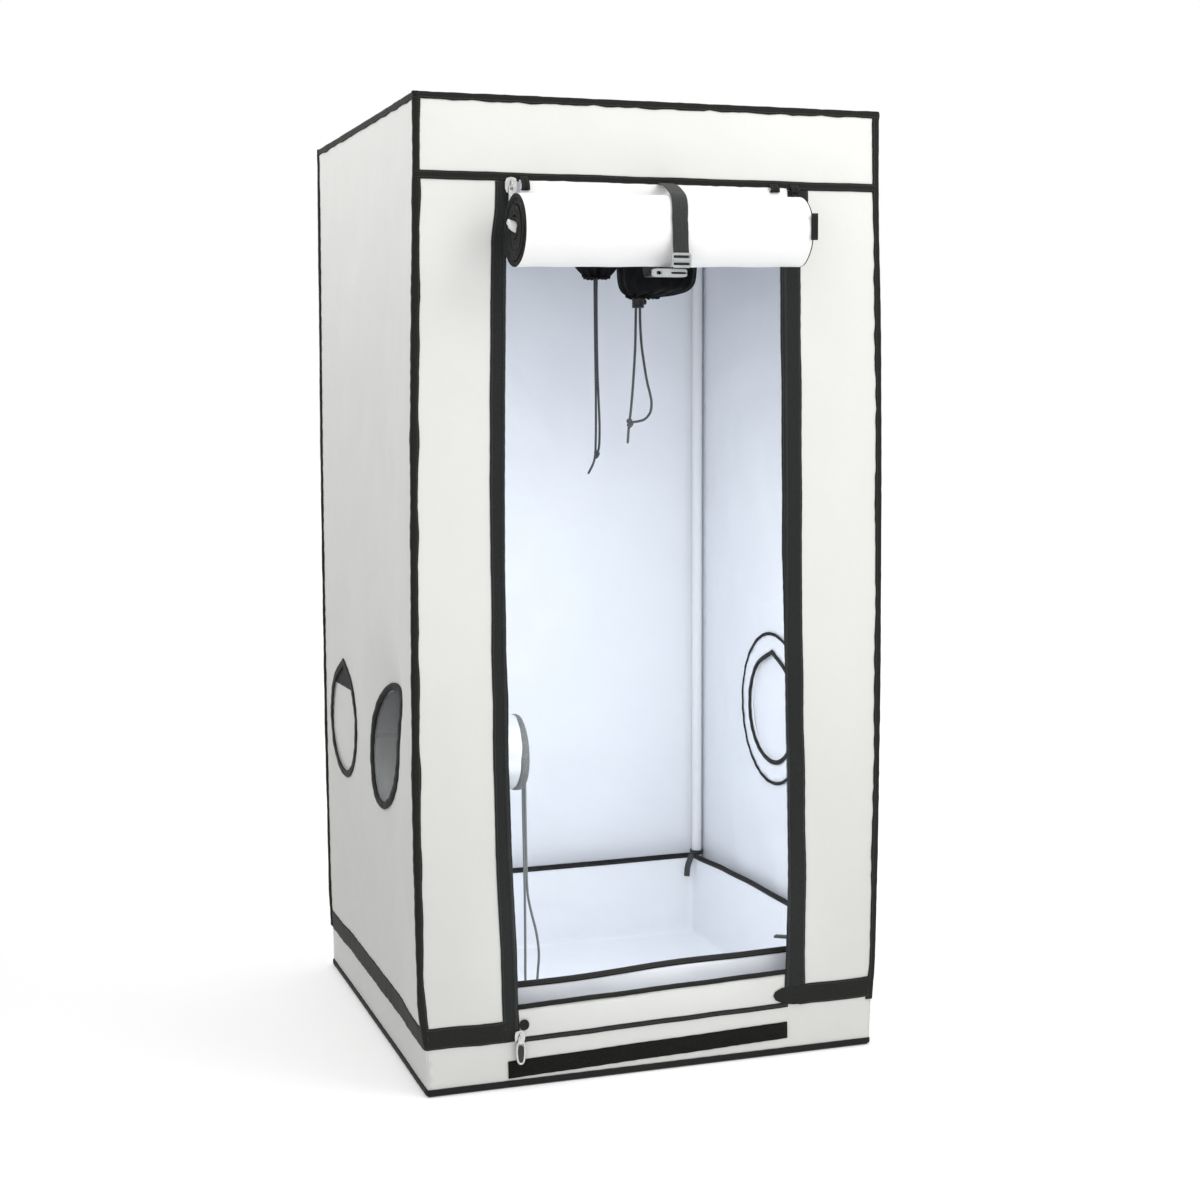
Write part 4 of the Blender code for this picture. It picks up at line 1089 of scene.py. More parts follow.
    # loops and tape ends under the header seam
    parts = []
    for x, w, drop, fwd in ((-0.1690, 0.0105, 0.0150, 0.0050), (0.1560, 0.0120, 0.0085, 0.0030),
                            (0.1840, 0.0120, 0.0080, 0.0022)):
        path = [(x, -0.3022, 1.1220), (x + 0.0004, -0.3036 - fwd * 0.5, 1.1190),
                (x + 0.0008, -0.3040 - fwd, 1.1220 - drop * 0.6), (x + 0.0010, -0.3040 - fwd * 0.9, 1.1220 - drop),
                (x + 0.0008, -0.3030 - fwd * 0.3, 1.1222 - drop), (x + 0.0004, -0.3028, 1.1210 - drop * 0.6)]
        nrm = np.array([(0, -0.4, 0.9), (0, -0.8, 0.5), (0, -1, 0), (0, -0.5, -0.9), (0, 0.6, -0.8), (0, 1, 0)], float)
        nrm /= np.linalg.norm(nrm, axis=1)[:, None]
        parts.append(along(path, nrm, w, 0.0012))
    v, f, t = together(*parts)
    piece("header_tabs", v, f, M["binding"], slot="binding_tape", uv=t)


def strap():
    width, thick = 0.0200, 0.0014
    seam = np.array((-0.3026, 1.1190))

    def surface(phi):
        return roll_r(TAU - phi) + 0.0011 + thick / 2 + 0.0006
    reach = math.hypot(seam[0] - ROLL_Y, seam[1] - ROLL_Z)
    first = math.atan2(seam[1] - ROLL_Z, seam[0] - ROLL_Y) + math.acos(surface(1.3) / reach)
    path = []
    for phi in np.linspace(first, math.pi, 26):
        r = surface(phi)
        path.append((ROLL_Y + r * math.cos(phi), ROLL_Z + 0.0028 + r * math.sin(phi)))
    start = [tuple(seam + (np.array(path[0]) - seam) * k / 7 + np.array((0, 0.0022 * math.sin(k * math.pi / 7))))
             for k in range(7)]
    r = surface(math.pi)
    down = [(ROLL_Y - r - 0.0003 * math.sin(k), ROLL_Z - d) for k, d in enumerate(np.linspace(0.000, 0.0455, 15))]
    yz = np.array(start + path + down)
    s = np.concatenate([[0.0], np.cumsum(np.linalg.norm(np.diff(yz, axis=0), axis=1))]) / 1.0
    share = s / s[-1]
    x = 0.0122 - 0.0182 * np.minimum(1, share * 1.5) + 0.0005 * np.sin(share * 7)
    pts = np.c_[x, yz]
    t = np.gradient(yz, axis=0)
    nrm = np.c_[np.zeros(len(t)), t[:, 1], -t[:, 0]]
    nrm /= np.linalg.norm(nrm, axis=1)[:, None]
    away = np.c_[np.zeros(len(t)), yz - (ROLL_Y, ROLL_Z)]
    nrm *= np.sign((nrm * away).sum(1))[:, None]
    v, f, uv = along(pts, nrm, width, thick, sink=0.0, wobble=0.0003, seed=21)
    obj = piece("strap_front_webbing", v, f, M["webbing"], "strap", "webbing", ["strap_front"], uv=uv)
    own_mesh(obj)

    low = ROLL_Z - 0.0500
    yz = np.array([(-0.3044, 1.1105), (-0.3044, 1.0900), (-0.3044, 1.0700), (-0.3044, 1.0500), (-0.3044, 1.0300),
                   (-0.3044, low + 0.0101), (-0.3050, low + 0.0053), (-0.3068, low + 0.0021), (-0.3100, low + 0.0005),
                   (-0.3150, low), (-0.3300, low), (-0.3450, low), (-0.3600, low), (-0.3750, low), (-0.3965, low)])
    pts = np.c_[np.full(len(yz), -0.008), yz]
    t = np.gradient(yz, axis=0)
    nrm = np.c_[np.zeros(len(t)), -t[:, 1], t[:, 0]]
    nrm /= np.linalg.norm(nrm, axis=1)[:, None]
    v, f, uv = along(pts, nrm, width, 0.0013, sink=0.0)
    obj = piece("strap_rear_webbing", v, f, M["webbing"], "tent", "webbing", ["strap_rear"], uv=uv)
    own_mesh(obj)

    x, z, y = -0.0060, ROLL_Z - 0.0362, ROLL_Y - 0.0432 - 0.0006 - 0.0012 - 0.0004
    slots = [oval(x, z + k * 0.0042, 0.0104, 0.0016, 8, 24) for k in (-1, 1)]
    v, f, uv = plate(oval(x, z, 0.0124, 0.0088, 7, 48), slots, 0.0030,
                     lambda p: np.stack([p[:, 0], y - p[:, 2], p[:, 1]], 1))
    bar = rod((x - 0.0108, y - 0.0030, z), (x + 0.0108, y - 0.0030, z), 0.0014, 16)
    v, f, uv = together((v, f, uv), bar)
    obj = piece("strap_buckle_frame", v, f, M["grey"], "buckle", "buckle", ["strap_buckle"], uv=uv, crisp=35)
    soften(obj, 0.0007)
    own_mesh(obj)

    # the rear half's end fitting, a flat bar that the tape is sewn round
    cx, cz, y0 = -0.0196, ROLL_Z - 0.0508, -0.3975
    v, f, uv = plate(oval(cx, cz, 0.0218, 0.0049, 6, 48),
                     [oval(-0.0080, cz, 0.0100, 0.0013, 6, 24), oval(-0.0330, cz, 0.0034, 0.0022, 3, 20)], 0.0042,
                     lambda p: np.stack([p[:, 0], y0 - p[:, 2], p[:, 1]], 1))
    obj = piece("strap_end_bar", v, f, M["grey"], "tent", "buckle", uv=uv, crisp=35)
    soften(obj, 0.0008)
    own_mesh(obj)


# ---------------------------------------------------------------- zip sliders and pulls
def torus_arch(x, y, z, half, rise, r, count=14):
    """The bridge over a slider, an arch in the plane of the zip."""
    a = np.linspace(math.pi, 0, count)
    path = np.stack([np.full(count, x), y - rise * np.sin(a), z + half * np.cos(a)], 1)
    t = np.gradient(path, axis=0)
    t /= np.linalg.norm(t, axis=1)[:, None]
    e1 = np.array((1.0, 0, 0))
    e2 = np.cross(t, e1)
    ang = np.arange(12) * TAU / 12
    return sweep(path, e1, e2, np.stack([np.cos(ang) * r * 1.35, np.sin(ang) * r], 1))


def sliders():
    for word, s in (("left", -1), ("right", 1)):
        x, z = s * 0.1850, 1.1120 if s < 0 else 1.0985
        shell = [(0.0, 0.0098), (0.0058, 0.0082), (0.0078, 0.0030), (0.0076, -0.0040), (0.0060, -0.0088),
                 (0.0, -0.0100), (-0.0060, -0.0088), (-0.0076, -0.0040), (-0.0078, 0.0030), (-0.0058, 0.0082)]
        v, f, uv = plate([(x + a, z + b) for a, b in shell], [], 0.0026,
                         lambda p: np.stack([p[:, 0], -0.3022 - p[:, 2], p[:, 1]], 1))
        body = together((v, f, uv), torus_arch(x, -0.3044, z + 0.0004, 0.0052, 0.0036, 0.0009))
        obj = piece("slider_body_" + word, *body[:2], M["nickel"], "slider_" + word, "zip_metal",
                    ["zip_slider_" + word], uv=body[2], crisp=40)
        soften(obj, 0.0009)
        top = z - 0.0014
        holes = [oval(x, top - 0.0034, 0.0018, 0.0022, 3, 20), oval(x, top - 0.0185, 0.0017, 0.0034, 3, 20)]
        v, f, uv = plate(oval(x, top - 0.0120, 0.0040, 0.0128, 4.5, 44), holes, 0.0014,
                         lambda p: np.stack([p[:, 0], -0.3059 - p[:, 2], p[:, 1]], 1))
        obj = piece("pull_" + word, v, f, M["nickel"], "pull_" + word, "zip_metal", ["zip_pull_" + word], uv=uv, crisp=40)
        soften(obj, 0.0004)

    x, z = -0.1828, 0.0655
    shell = [(0.0068, 0.0), (0.0056, 0.0062), (0.0020, 0.0078), (-0.0034, 0.0076), (-0.0066, 0.0060),
             (-0.0072, 0.0), (-0.0066, -0.0060), (-0.0034, -0.0076), (0.0020, -0.0078), (0.0056, -0.0062)]
    v, f, uv = plate([(x + a, z + b) for a, b in shell], [], 0.0026,
                     lambda p: np.stack([p[:, 0], -0.3022 - p[:, 2], p[:, 1]], 1))
    body = together((v, f, uv), torus_arch(x, -0.3044, z, 0.0042, 0.0034, 0.0009))
    obj = piece("slider_body_low", *body[:2], M["nickel"], "slider_low", "zip_metal", ["zip_slider_low"], uv=body[2],
                crisp=40)
    soften(obj, 0.0008)
    # ring pull: an oval wire ring on a short shackle
    count = 44
    a = np.arange(count) * TAU / count
    mid = z - 0.0188
    path = np.stack([x + 0.0052 * np.sign(np.cos(a)) * np.abs(np.cos(a)) ** 0.75, np.full(count, -0.3068),
                     mid + 0.0152 * np.sin(a)], 1)
    t = np.roll(path, -1, 0) - np.roll(path, 1, 0)
    t /= np.linalg.norm(t, axis=1)[:, None]
    e2 = np.array((0.0, 1.0, 0.0))
    ang = np.arange(12) * TAU / 12
    ring = sweep(path, np.cross(t, e2), e2, np.stack([np.cos(ang), np.sin(ang)], 1) * 0.0015, loop=True)
    lug = plate(oval(x, z - 0.0036, 0.0030, 0.0052, 4, 28), [oval(x, z - 0.0012, 0.0015, 0.0018, 3, 16)], 0.0014,
                lambda p: np.stack([p[:, 0], -0.3061 - p[:, 2], p[:, 1]], 1))
    v, f, uv = together(ring, lug)
    piece("pull_low_ring", v, f, M["nickel"], "pull_low", "zip_metal", ["zip_pull_low"], uv=uv, crisp=45)
    v, f, uv = plate(oval(x, mid - 0.0030, 0.0040, 0.0112, 3, 40), [], 0.0012,
                     lambda p: np.stack([p[:, 0], -0.3062 - p[:, 2], p[:, 1]], 1))
    soften(piece("pull_low_insert", v, f, M["black"], "pull_low", "lock_plastic", uv=uv, crisp=40), 0.0004)

    # sewn-down tape ends at the door's bottom corners
    v, f, uv = plate(oval(-0.1765, 0.0795, 0.0062, 0.0066, 2.3, 36), [], 0.0016,
                     lambda p: np.stack([p[:, 0], -0.3016 - p[:, 2], p[:, 1]], 1))
    soften(piece("zip_stop_left", settle(v), f, M["binding"], slot="zip_tape", uv=uv, crisp=40), 0.0005)
    v, f, uv = plate([(0.1625, 0.0800), (0.1655, 0.0858), (0.1740, 0.0900), (0.1900, 0.0915), (0.2080, 0.0915),
                      (0.2080, 0.0655), (0.1900, 0.0665), (0.1760, 0.0690), (0.1660, 0.0742)], [], 0.0015,
                     lambda p: np.stack([p[:, 0], -0.3004 - p[:, 2], p[:, 1]], 1))
    soften(piece("zip_stop_right", settle(v), f, M["binding"], slot="zip_tape", uv=uv, crisp=40), 0.0005)


# ---------------------------------------------------------------- vents and the duct port
def on_wall(side, pts2, out=0.0):
    """(y, z) points on the outer face of the left (-1) or right (1) wall."""
    p = np.asarray(pts2, float)
    return settle(np.stack([np.full(len(p), side * (A + 0.0)), p[:, 0], p[:, 1]], 1)) + np.array((side * out, 0, 0))


def loop_points(outline, step=0.004):
    return dense(outline, step)


def egg(u, v, r, lift, lean, count=96):
    """A round outline, a little drawn out towards the upper side that lean points to."""
    out = []
    for i in range(count):
        a = TAU * i / count
        k = max(0.0, math.cos(a - lean)) ** 7
        out.append((u + (r + lift * k) * math.cos(a), v + (r + lift * k) * math.sin(a)))
    return out


def vents():
    # left wall, front vent: bound rim and screen
    y, z = VENT_F
    path = on_wall(-1, [(y + (a - y) * 1.10, z - 0.0012 + (b - z) * 0.962) for a, b in egg(y, z, 0.0785, 0.0030, 1.25)])
    v, f, t = along(path, (-1, 0, 0), 0.0098, 0.0032, loop=True, wobble=0.0005, seed=31)
    wide = v.reshape(len(path), -1, 3)         # the binding is folded wider over the two sides
    wide[..., 1] = path[:, None, 1] + (wide[..., 1] - path[:, None, 1]) * 1.75
    v = wide.reshape(-1, 3)
    piece("vent_front_binding", v, f, M["binding"], slot="binding_tape", uv=t)
    pitch, w, r = 0.0019, 0.00026, 0.0785
    parts = []
    for k in np.arange(-r + pitch / 2, r, pitch):
        half = math.sqrt(max(0.0, r * r - k * k)) * 1.01
        n = max(2, int(2 * half / 0.014) + 1)
        for way in (0, 1):
            s = np.linspace(-half, half, n)
            p = np.stack([y + 1.05 * (s if way else k + 0 * s), z + (k + 0 * s if way else s)], 1)
            mid = on_wall(-1, p) + np.array((0.0006 + 0.0005 * way, 0, 0))
            cross = (0, 0, 1) if way else (0, 1, 0)
            parts.append(sweep(mid, cross, (1, 0, 0), [(-w / 2, 0), (w / 2, 0), (w / 2, 0.00013), (-w / 2, 0.00013)]))
    v, f, t = together(*parts)
    piece("vent_front_mesh", v, f, M["screen"], slot="mesh_screen", replaces=["vent_front_screen"], uv=t, closed=False,
          smooth=False)

    # sleeve behind it, a cloth tube with soft folds, hemmed at its gathered mouth
    rings = np.array([(-0.2990, 0.0, 0.0815), (-0.2620, 0.0010, 0.0790), (-0.2260, 0.0040, 0.0730),
                      (-0.1900, 0.0080, 0.0660), (-0.1550, 0.0135, 0.0580), (-0.1200, 0.0196, 0.0500)])
    xs = np.linspace(rings[0, 0], rings[-1, 0], 34)
    drop, rad = np.interp(xs, rings[:, 0], rings[:, 1]), np.interp(xs, rings[:, 0], rings[:, 2])
    a = np.arange(121) * TAU / 120
    ga, gx = np.meshgrid(a, xs, indexing="ij")
    grow = ease((gx - xs[0]) / (xs[-1] - xs[0]))
    fold = (np.sin(ga * 7 + 1.2 * np.sin(gx * 31)) * 0.55 + 0.45 * np.sin(ga * 11 + 2.0 + 9 * gx)) * 0.0022 * grow
    fold *= 1 - 0.85 * ease((gx - xs[-1] + 0.030) / 0.022)
    hang = 0.0035 * grow * np.sin(ga) * -1
    rr = rad[None] - 0.0006 + fold
    pts = np.stack([gx, y + rr * np.cos(ga), z - drop[None] + rr * np.sin(ga) + hang * 0.4], -1)
    pts = settle(pts.reshape(-1, 3)).reshape(pts.shape)
    run = np.concatenate([[0.0], np.cumsum(np.hypot(np.diff(xs), np.diff(rad)))])
    # its lining is painted grey, painted shade inside the tube
    obj = sheet_grid("vent_front_tube", pts, a * 0.068, run, [M["sleeve_in_painted_shade"], M["sleeve_in_painted_shade"]], "lining_cloth",
                     "tent", ["vent_front_sleeve"], 0.0008)
    mouth = pts[:-1, -1] + np.array((-0.006, 0, 0))
    for _ in range(14):
        mouth = 0.5 * mouth + 0.25 * (np.roll(mouth, 1, 0) + np.roll(mouth, -1, 0))
    v, f, t = along(mouth, np.stack([0 * a[:-1], np.cos(a[:-1]), np.sin(a[:-1])], 1),
                    0.0130, 0.0034, loop=True, sink=0.0010)
    piece("vent_front_hem", v, f, M["hem"], slot="binding_tape", uv=t)

    # left wall, rear vent: pointed binding, and the flap behind it
    y, z = VENT_R
    outline = pointed(y, z - 0.001, 0.0762, 0.0865, 90)
    path = on_wall(-1, loop_points(outline, 0.004))
    v, f, t = along(path, (-1, 0, 0), 0.0105, 0.0023, loop=True, wobble=0.0004, seed=33)
    piece("vent_rear_rim", v, f, M["binding"], slot="binding_tape", replaces=["vent_rear_binding"], uv=t)
    flat, tris = cut(circle(y, z - 0.0005, 0.0875, 80), [], 0.008)
    w = ripples(91, 6, 0.05, 0.16)
    obj = panel("vent_rear_cloth", flat, turned(flat, tris, False),
                lambda u, v_: np.stack([-0.2985 + 0.0006 * field(w, u, v_), u, v_], 1),
                [M["cover"], M["lining"]], "cover_cloth", ["vent_rear_flap"], body="rear_flap", thick=0.0009)
    top = [(u, v_) for u, v_ in flat if v_ > 0.4545]
    # a black band over the top of the flap: painted shade filling the vent's pointed peak above the flap
    band, btris = cut([(y - 0.072, 0.4445), (y + 0.072, 0.4445), (y + 0.060, 0.4600), (y + 0.040, 0.4740),
                       (y + 0.018, 0.4830), (y - 0.018, 0.4830), (y - 0.040, 0.4740), (y - 0.062, 0.4590)], [], 0.008)
    obj = panel("vent_rear_painted_shade_band", band, turned(band, btris, False),
                lambda u, v_: np.stack([-0.2993 + 0 * u, u, v_], 1),
                [M["bead"], M["bead"]], "binding_tape", body="rear_flap", thick=0.0007)
    obj.modifiers["thickness"].use_even_offset = False

    # right wall: duct port with its sewn ring inside and flap outside
    y, z = PORT_R
    ring, rt = cut(circle(y, z, 0.1095, 96), [[(y + (a - y) * 1.06, b) for a, b in pointed(y, z - 0.002, 0.0790, 0.0855, 70)]], 0.008)
    w2 = ripples(93, 6, 0.03, 0.10)
    obj = panel("port_ring_patch", ring, turned(ring, rt),
                lambda u, v_: np.stack([0.2980 - 0.0004 * np.abs(field(w2, u, v_)), u, v_], 1),
                [M["lining"], M["lining"]], "lining_cloth", ["port_right_ring"], thick=0.0010)
    path = on_wall(1, loop_points(circle(y, z - 0.0012, 0.1096, 96), 0.005)) - np.array((0.0034, 0, 0))
    v, f, t = along(path, (-1, 0, 0), 0.0048, 0.0012, loop=True)
    piece("port_ring_edge", v, f, M["bead"], slot="binding_tape", uv=t)
    path = on_wall(1, [(y + (a - y) * 1.06, b) for a, b in loop_points(pointed(y, z - 0.0020, 0.0775, 0.0842, 90), 0.004)])
    path -= np.array((0.0034, 0, 0))
    v, f, t = along(path, (-1, 0, 0), 0.0070, 0.0018, loop=True, wobble=0.0003, seed=35)
    piece("port_rim_inner", v, f, M["binding"], slot="binding_tape", uv=t)
    path = on_wall(1, loop_points(pointed(y, z, 0.0790, 0.0900, 90), 0.004))
    flat, tris = cut(circle(y, z, 0.0915, 80), [], 0.008)
    obj = panel("port_flap_cloth", flat, turned(flat, tris),
                lambda u, v_: np.stack([0.3016 + 0.0007 * field(w, u, v_), u, v_], 1),
                [M["cover"], M["lining"]], "cover_cloth", ["port_right_flap"], body="right_flap", thick=0.0010)
    ring = np.array(circle(y, z, 0.0912, 96))
    path = settle(np.stack([np.full(96, 0.3016), ring[:, 0], np.minimum(ring[:, 1], 0.4938)], 1))  # flat along the hinge
    v, f, t = along(path, (1, 0, 0), 0.0082, 0.0017, loop=True, wobble=0.0003, seed=37)
    piece("port_flap_binding", v, f, M["binding"], "right_flap", "binding_tape", uv=t)


def roof_sleeve(name, node, rings, pleats, seed):
    """Black duct sleeve hanging from the roof, pleated towards its drawn-in mouth."""
    rings = np.array(rings)
    run0 = np.concatenate([[0.0], np.cumsum(np.linalg.norm(np.diff(rings[:, [0, 3]], axis=0), axis=1))])
    run = np.linspace(0, run0[-1], 58)
    z, cx, cy, rad = (np.interp(run, run0, rings[:, k]) for k in range(4))
    for arr in (z, cx, cy, rad):
        smooth = np.convolve(np.pad(arr, 2, mode="edge"), [0.1, 0.2, 0.4, 0.2, 0.1], "valid")
        arr[2:-2] = smooth[2:-2]
    count = pleats * 12
    a = np.arange(count + 1) * TAU / count
    ga, gs = np.meshgrid(a, run, indexing="ij")
    full = rings[0, 3]
    shut = np.clip(1 - rad / full, 0, 1)[None]
    drift = 0.35 * np.sin(ga * 3 + seed) + 0.25 * np.sin(ga * 2 + seed * 2.0)
    wave = np.cos(ga * pleats + drift * 2.2) * 0.75 + 0.25 * np.cos(ga * (pleats + 5) + seed)
    high = np.minimum(0.0030, 0.42 * rad)[None]
    depth = high * ease(shut * 2.4) + 0.0008 * ease(gs / 0.02)
    soft = 0.0014 * field(ripples(seed + 90, 6, 0.05, 0.16), ga * full, gs) * ease(gs / 0.03) * (rad / full)[None]
    rr = rad[None] + wave * depth + soft
    pts = np.stack([cx[None] + rr * np.cos(ga), cy[None] + rr * np.sin(ga), np.broadcast_to(z, ga.shape)
                    + 0.0012 * np.sin(ga * pleats) * ease(shut * 2)], -1)
    obj = sheet_grid(name, pts, a * full, run, [M["sleeve"], M["sleeve"]], "sleeve_cloth", "tent", [node], 0.0008)
    # puckered hem at the mouth
    mouth = pts[:-1, -3]
    nrm = np.stack([np.cos(a[:-1]), np.sin(a[:-1]), 0 * a[:-1]], 1)
    v, f, t = along(mouth[::2], nrm[::2], 0.0075, 0.0017, loop=True, sink=0.0008)
    piece(name + "_hem", v, f, M["sleeve"], slot="sleeve_cloth", uv=t)


def roof_ports():
    x, y = PORT_TOP_F
    roof_sleeve("roof_sleeve_front_cloth", "roof_sleeve_front",
                [(1.2146, x, y, 0.0545), (1.1000, x, y, 0.0540), (1.0300, x, y, 0.0532), (1.0130, x, y, 0.0520),
                 (1.0045, x - 0.001, y, 0.0480), (0.9995, x - 0.004, y, 0.0400), (0.9965, x - 0.011, y, 0.0290),
                 (0.9950, x - 0.019, y, 0.0190), (0.9938, x - 0.026, y, 0.0100)], 14, 3)
    x, y = PORT_TOP_R
    roof_sleeve("roof_sleeve_rear_cloth", "roof_sleeve_rear",
                [(1.2146, x, y, 0.0495), (1.1300, x, y, 0.0490), (1.0900, x, y, 0.0465), (1.0600, x, y, 0.0390),
                 (1.0420, x, y, 0.0250), (1.0330, x, y, 0.0160), (1.0290, x, y, 0.0110)], 13, 8)
    parts = []
    for (cx, cy), r in ((PORT_TOP_F, 0.0560), (PORT_TOP_R, 0.0510)):
        path = settle(np.stack([*np.array(circle(cx, cy, r, 80)).T, np.full(80, H)], 1))
        parts.append(along(path, (0, 0, 1), 0.0110, 0.0017, loop=True, wobble=0.0003, seed=41))
    v, f, t = together(*parts)
    piece("roof_port_binding", v, f, M["binding"], slot="binding_tape", uv=t)


# ---------------------------------------------------------------- drawstrings
def flowing(points, gap=0.0028):
    """Points at an even gap on a smooth curve through a route."""
    p = np.array(points, float)
    p = np.vstack([2 * p[0] - p[1], p, 2 * p[-1] - p[-2]])
    fine = []
    for k in range(1, len(p) - 2):
        t = [0.0]
        for j in range(3):
            t.append(t[-1] + math.sqrt(np.linalg.norm(p[k + j] - p[k + j - 1])))
        s = np.linspace(t[1], t[2], 40, endpoint=False)[:, None]
        q = p[k - 1:k + 3]
        a1 = q[0] * (t[1] - s) / (t[1] - t[0]) + q[1] * (s - t[0]) / (t[1] - t[0])
        a2 = q[1] * (t[2] - s) / (t[2] - t[1]) + q[2] * (s - t[1]) / (t[2] - t[1])
        a3 = q[2] * (t[3] - s) / (t[3] - t[2]) + q[3] * (s - t[2]) / (t[3] - t[2])
        b1 = a1 * (t[2] - s) / (t[2] - t[0]) + a2 * (s - t[0]) / (t[2] - t[0])
        b2 = a2 * (t[3] - s) / (t[3] - t[1]) + a3 * (s - t[1]) / (t[3] - t[1])
        fine.append(b1 * (t[2] - s) / (t[2] - t[1]) + b2 * (s - t[1]) / (t[2] - t[1]))
    fine = np.vstack([*fine, p[-2][None]])
    run = np.concatenate([[0.0], np.cumsum(np.linalg.norm(np.diff(fine, axis=0), axis=1))])
    n = max(4, int(round(run[-1] / gap)) + 1)
    even = np.linspace(0, run[-1], n)
    return np.stack([np.interp(even, run, fine[:, k]) for k in range(3)], 1), float(run[-1])


def cord_skin(path, d=CORD_D, sides=14):
    n = len(path)
    t = np.gradient(path, axis=0)
    t /= np.linalg.norm(t, axis=1)[:, None]
    e1 = np.cross(t, np.broadcast_to(np.array((0.0, 1.0, 0.0)), t.shape))
    size = np.linalg.norm(e1, axis=1)
    e1 /= size[:, None]
    e2 = np.cross(t, e1)
    a = np.arange(sides) * TAU / sides
    ring = np.stack([np.cos(a), np.sin(a)], 1) * d / 2
    secs = np.broadcast_to(ring, (n, sides, 2)).copy()
    secs[0] *= 0.7
    secs[-1] *= 0.7
    return sweep(path, e1, e2, secs, np.arange(sides) / sides, v_end=1.0)


def knot(centre, axis, size, turns=2.2, d=CORD_D):
    """A tight overhand knot: a few crossing turns of cord round the strand."""
    axis = np.array(axis, float) / np.linalg.norm(axis)
    e1 = np.cross(axis, (0.0, 1.0, 0.0))
    e1 /= np.linalg.norm(e1)
    e2 = np.cross(axis, e1)
    s = np.linspace(0, 1, 90)
    a = TAU * turns * s
    r = size * (0.50 + 0.12 * np.sin(a * 1.5 + 0.6))
    h = size * 0.85 * np.sin(TAU * s * 1.5 + 0.3)
    path = np.array(centre) + np.outer(r * np.cos(a), e1) + np.outer(r * np.sin(a), e2) + np.outer(h, axis)
    t = np.gradient(path, axis=0)
    t /= np.linalg.norm(t, axis=1)[:, None]
    f1 = np.cross(t, np.broadcast_to(axis, t.shape))
    f1 /= np.linalg.norm(f1, axis=1)[:, None]
    f2 = np.cross(t, f1)
    q = np.arange(12) * TAU / 12
    secs = np.broadcast_to(np.stack([np.cos(q), np.sin(q)], 1) * d * 0.5, (90, 12, 2)).copy()
    secs[0] *= 0.3
    secs[-1] *= 0.3
    return sweep(path, f1, f2, secs, np.arange(12) / 12, v_end=1.0)


def along_y(y, pairs, seed=0):
    """A route hanging in a plane of constant y, with a slight sway off that plane."""
    out = []
    for k, (x, z) in enumerate(pairs):
        out.append((x, y + 0.0016 * math.sin(k * 0.9 + seed) * min(1.0, k / 3), z))
    return out


FRONT_A = [(0.0610, 0.9980), (0.0610, 0.9850), (0.0608, 0.9600), (0.0600, 0.9300), (0.0575, 0.8950), (0.0545, 0.8600),
           (0.0520, 0.8350), (0.0506, 0.8220), (0.0498, 0.8080), (0.0490, 0.7955)]
FRONT_B = [(0.0668, 0.9980), (0.0668, 0.9850), (0.0672, 0.9600), (0.0690, 0.9300), (0.0720, 0.9050), (0.0765, 0.8780),
           (0.0808, 0.8620), (0.0832, 0.8500), (0.0815, 0.8370), (0.0740, 0.8285), (0.0640, 0.8255), (0.0538, 0.8245)]
REAR_A = [(0.0726, 1.0345), (0.0728, 1.0100), (0.0730, 0.9600), (0.0732, 0.9000), (0.0733, 0.8500), (0.0730, 0.7950),
          (0.0724, 0.7730), (0.0702, 0.7615), (0.0655, 0.7520), (0.0615, 0.7455)]
REAR_B = [(0.0760, 1.0345), (0.0757, 1.0100), (0.0757, 0.9600), (0.0760, 0.9000), (0.0776, 0.8500), (0.0790, 0.8120),
          (0.0787, 0.7880), (0.0776, 0.7780)]
LEFT = [(-0.1150, 0.4220), (-0.1147, 0.4120), (-0.1145, 0.3900), (-0.1145, 0.3200), (-0.1140, 0.2500),
        (-0.1135, 0.1750), (-0.1135, 0.1100), (-0.1133, 0.0750), (-0.1123, 0.0585), (-0.1082, 0.0480),
        (-0.1027, 0.0472), (-0.0985, 0.0540), (-0.0970, 0.0680), (-0.0955, 0.0850), (-0.0938, 0.1020),
        (-0.0942, 0.1160), (-0.0975, 0.1380), (-0.1036, 0.1620), (-0.1092, 0.1900), (-0.1112, 0.2500),
        (-0.1118, 0.3200), (-0.1118, 0.3900), (-0.1120, 0.4120), (-0.1124, 0.4220)]
CORDS = {}


def drawstring(name, node, y, pairs, seed, mat="cord"):
    path, length = flowing(along_y(y, pairs, seed))
    v, f, t = cord_skin(path)
    obj = piece(name, v, f, M[mat], slot="cord", replaces=[node], uv=t)
    CORDS[name] = round(length, 4)
    return path


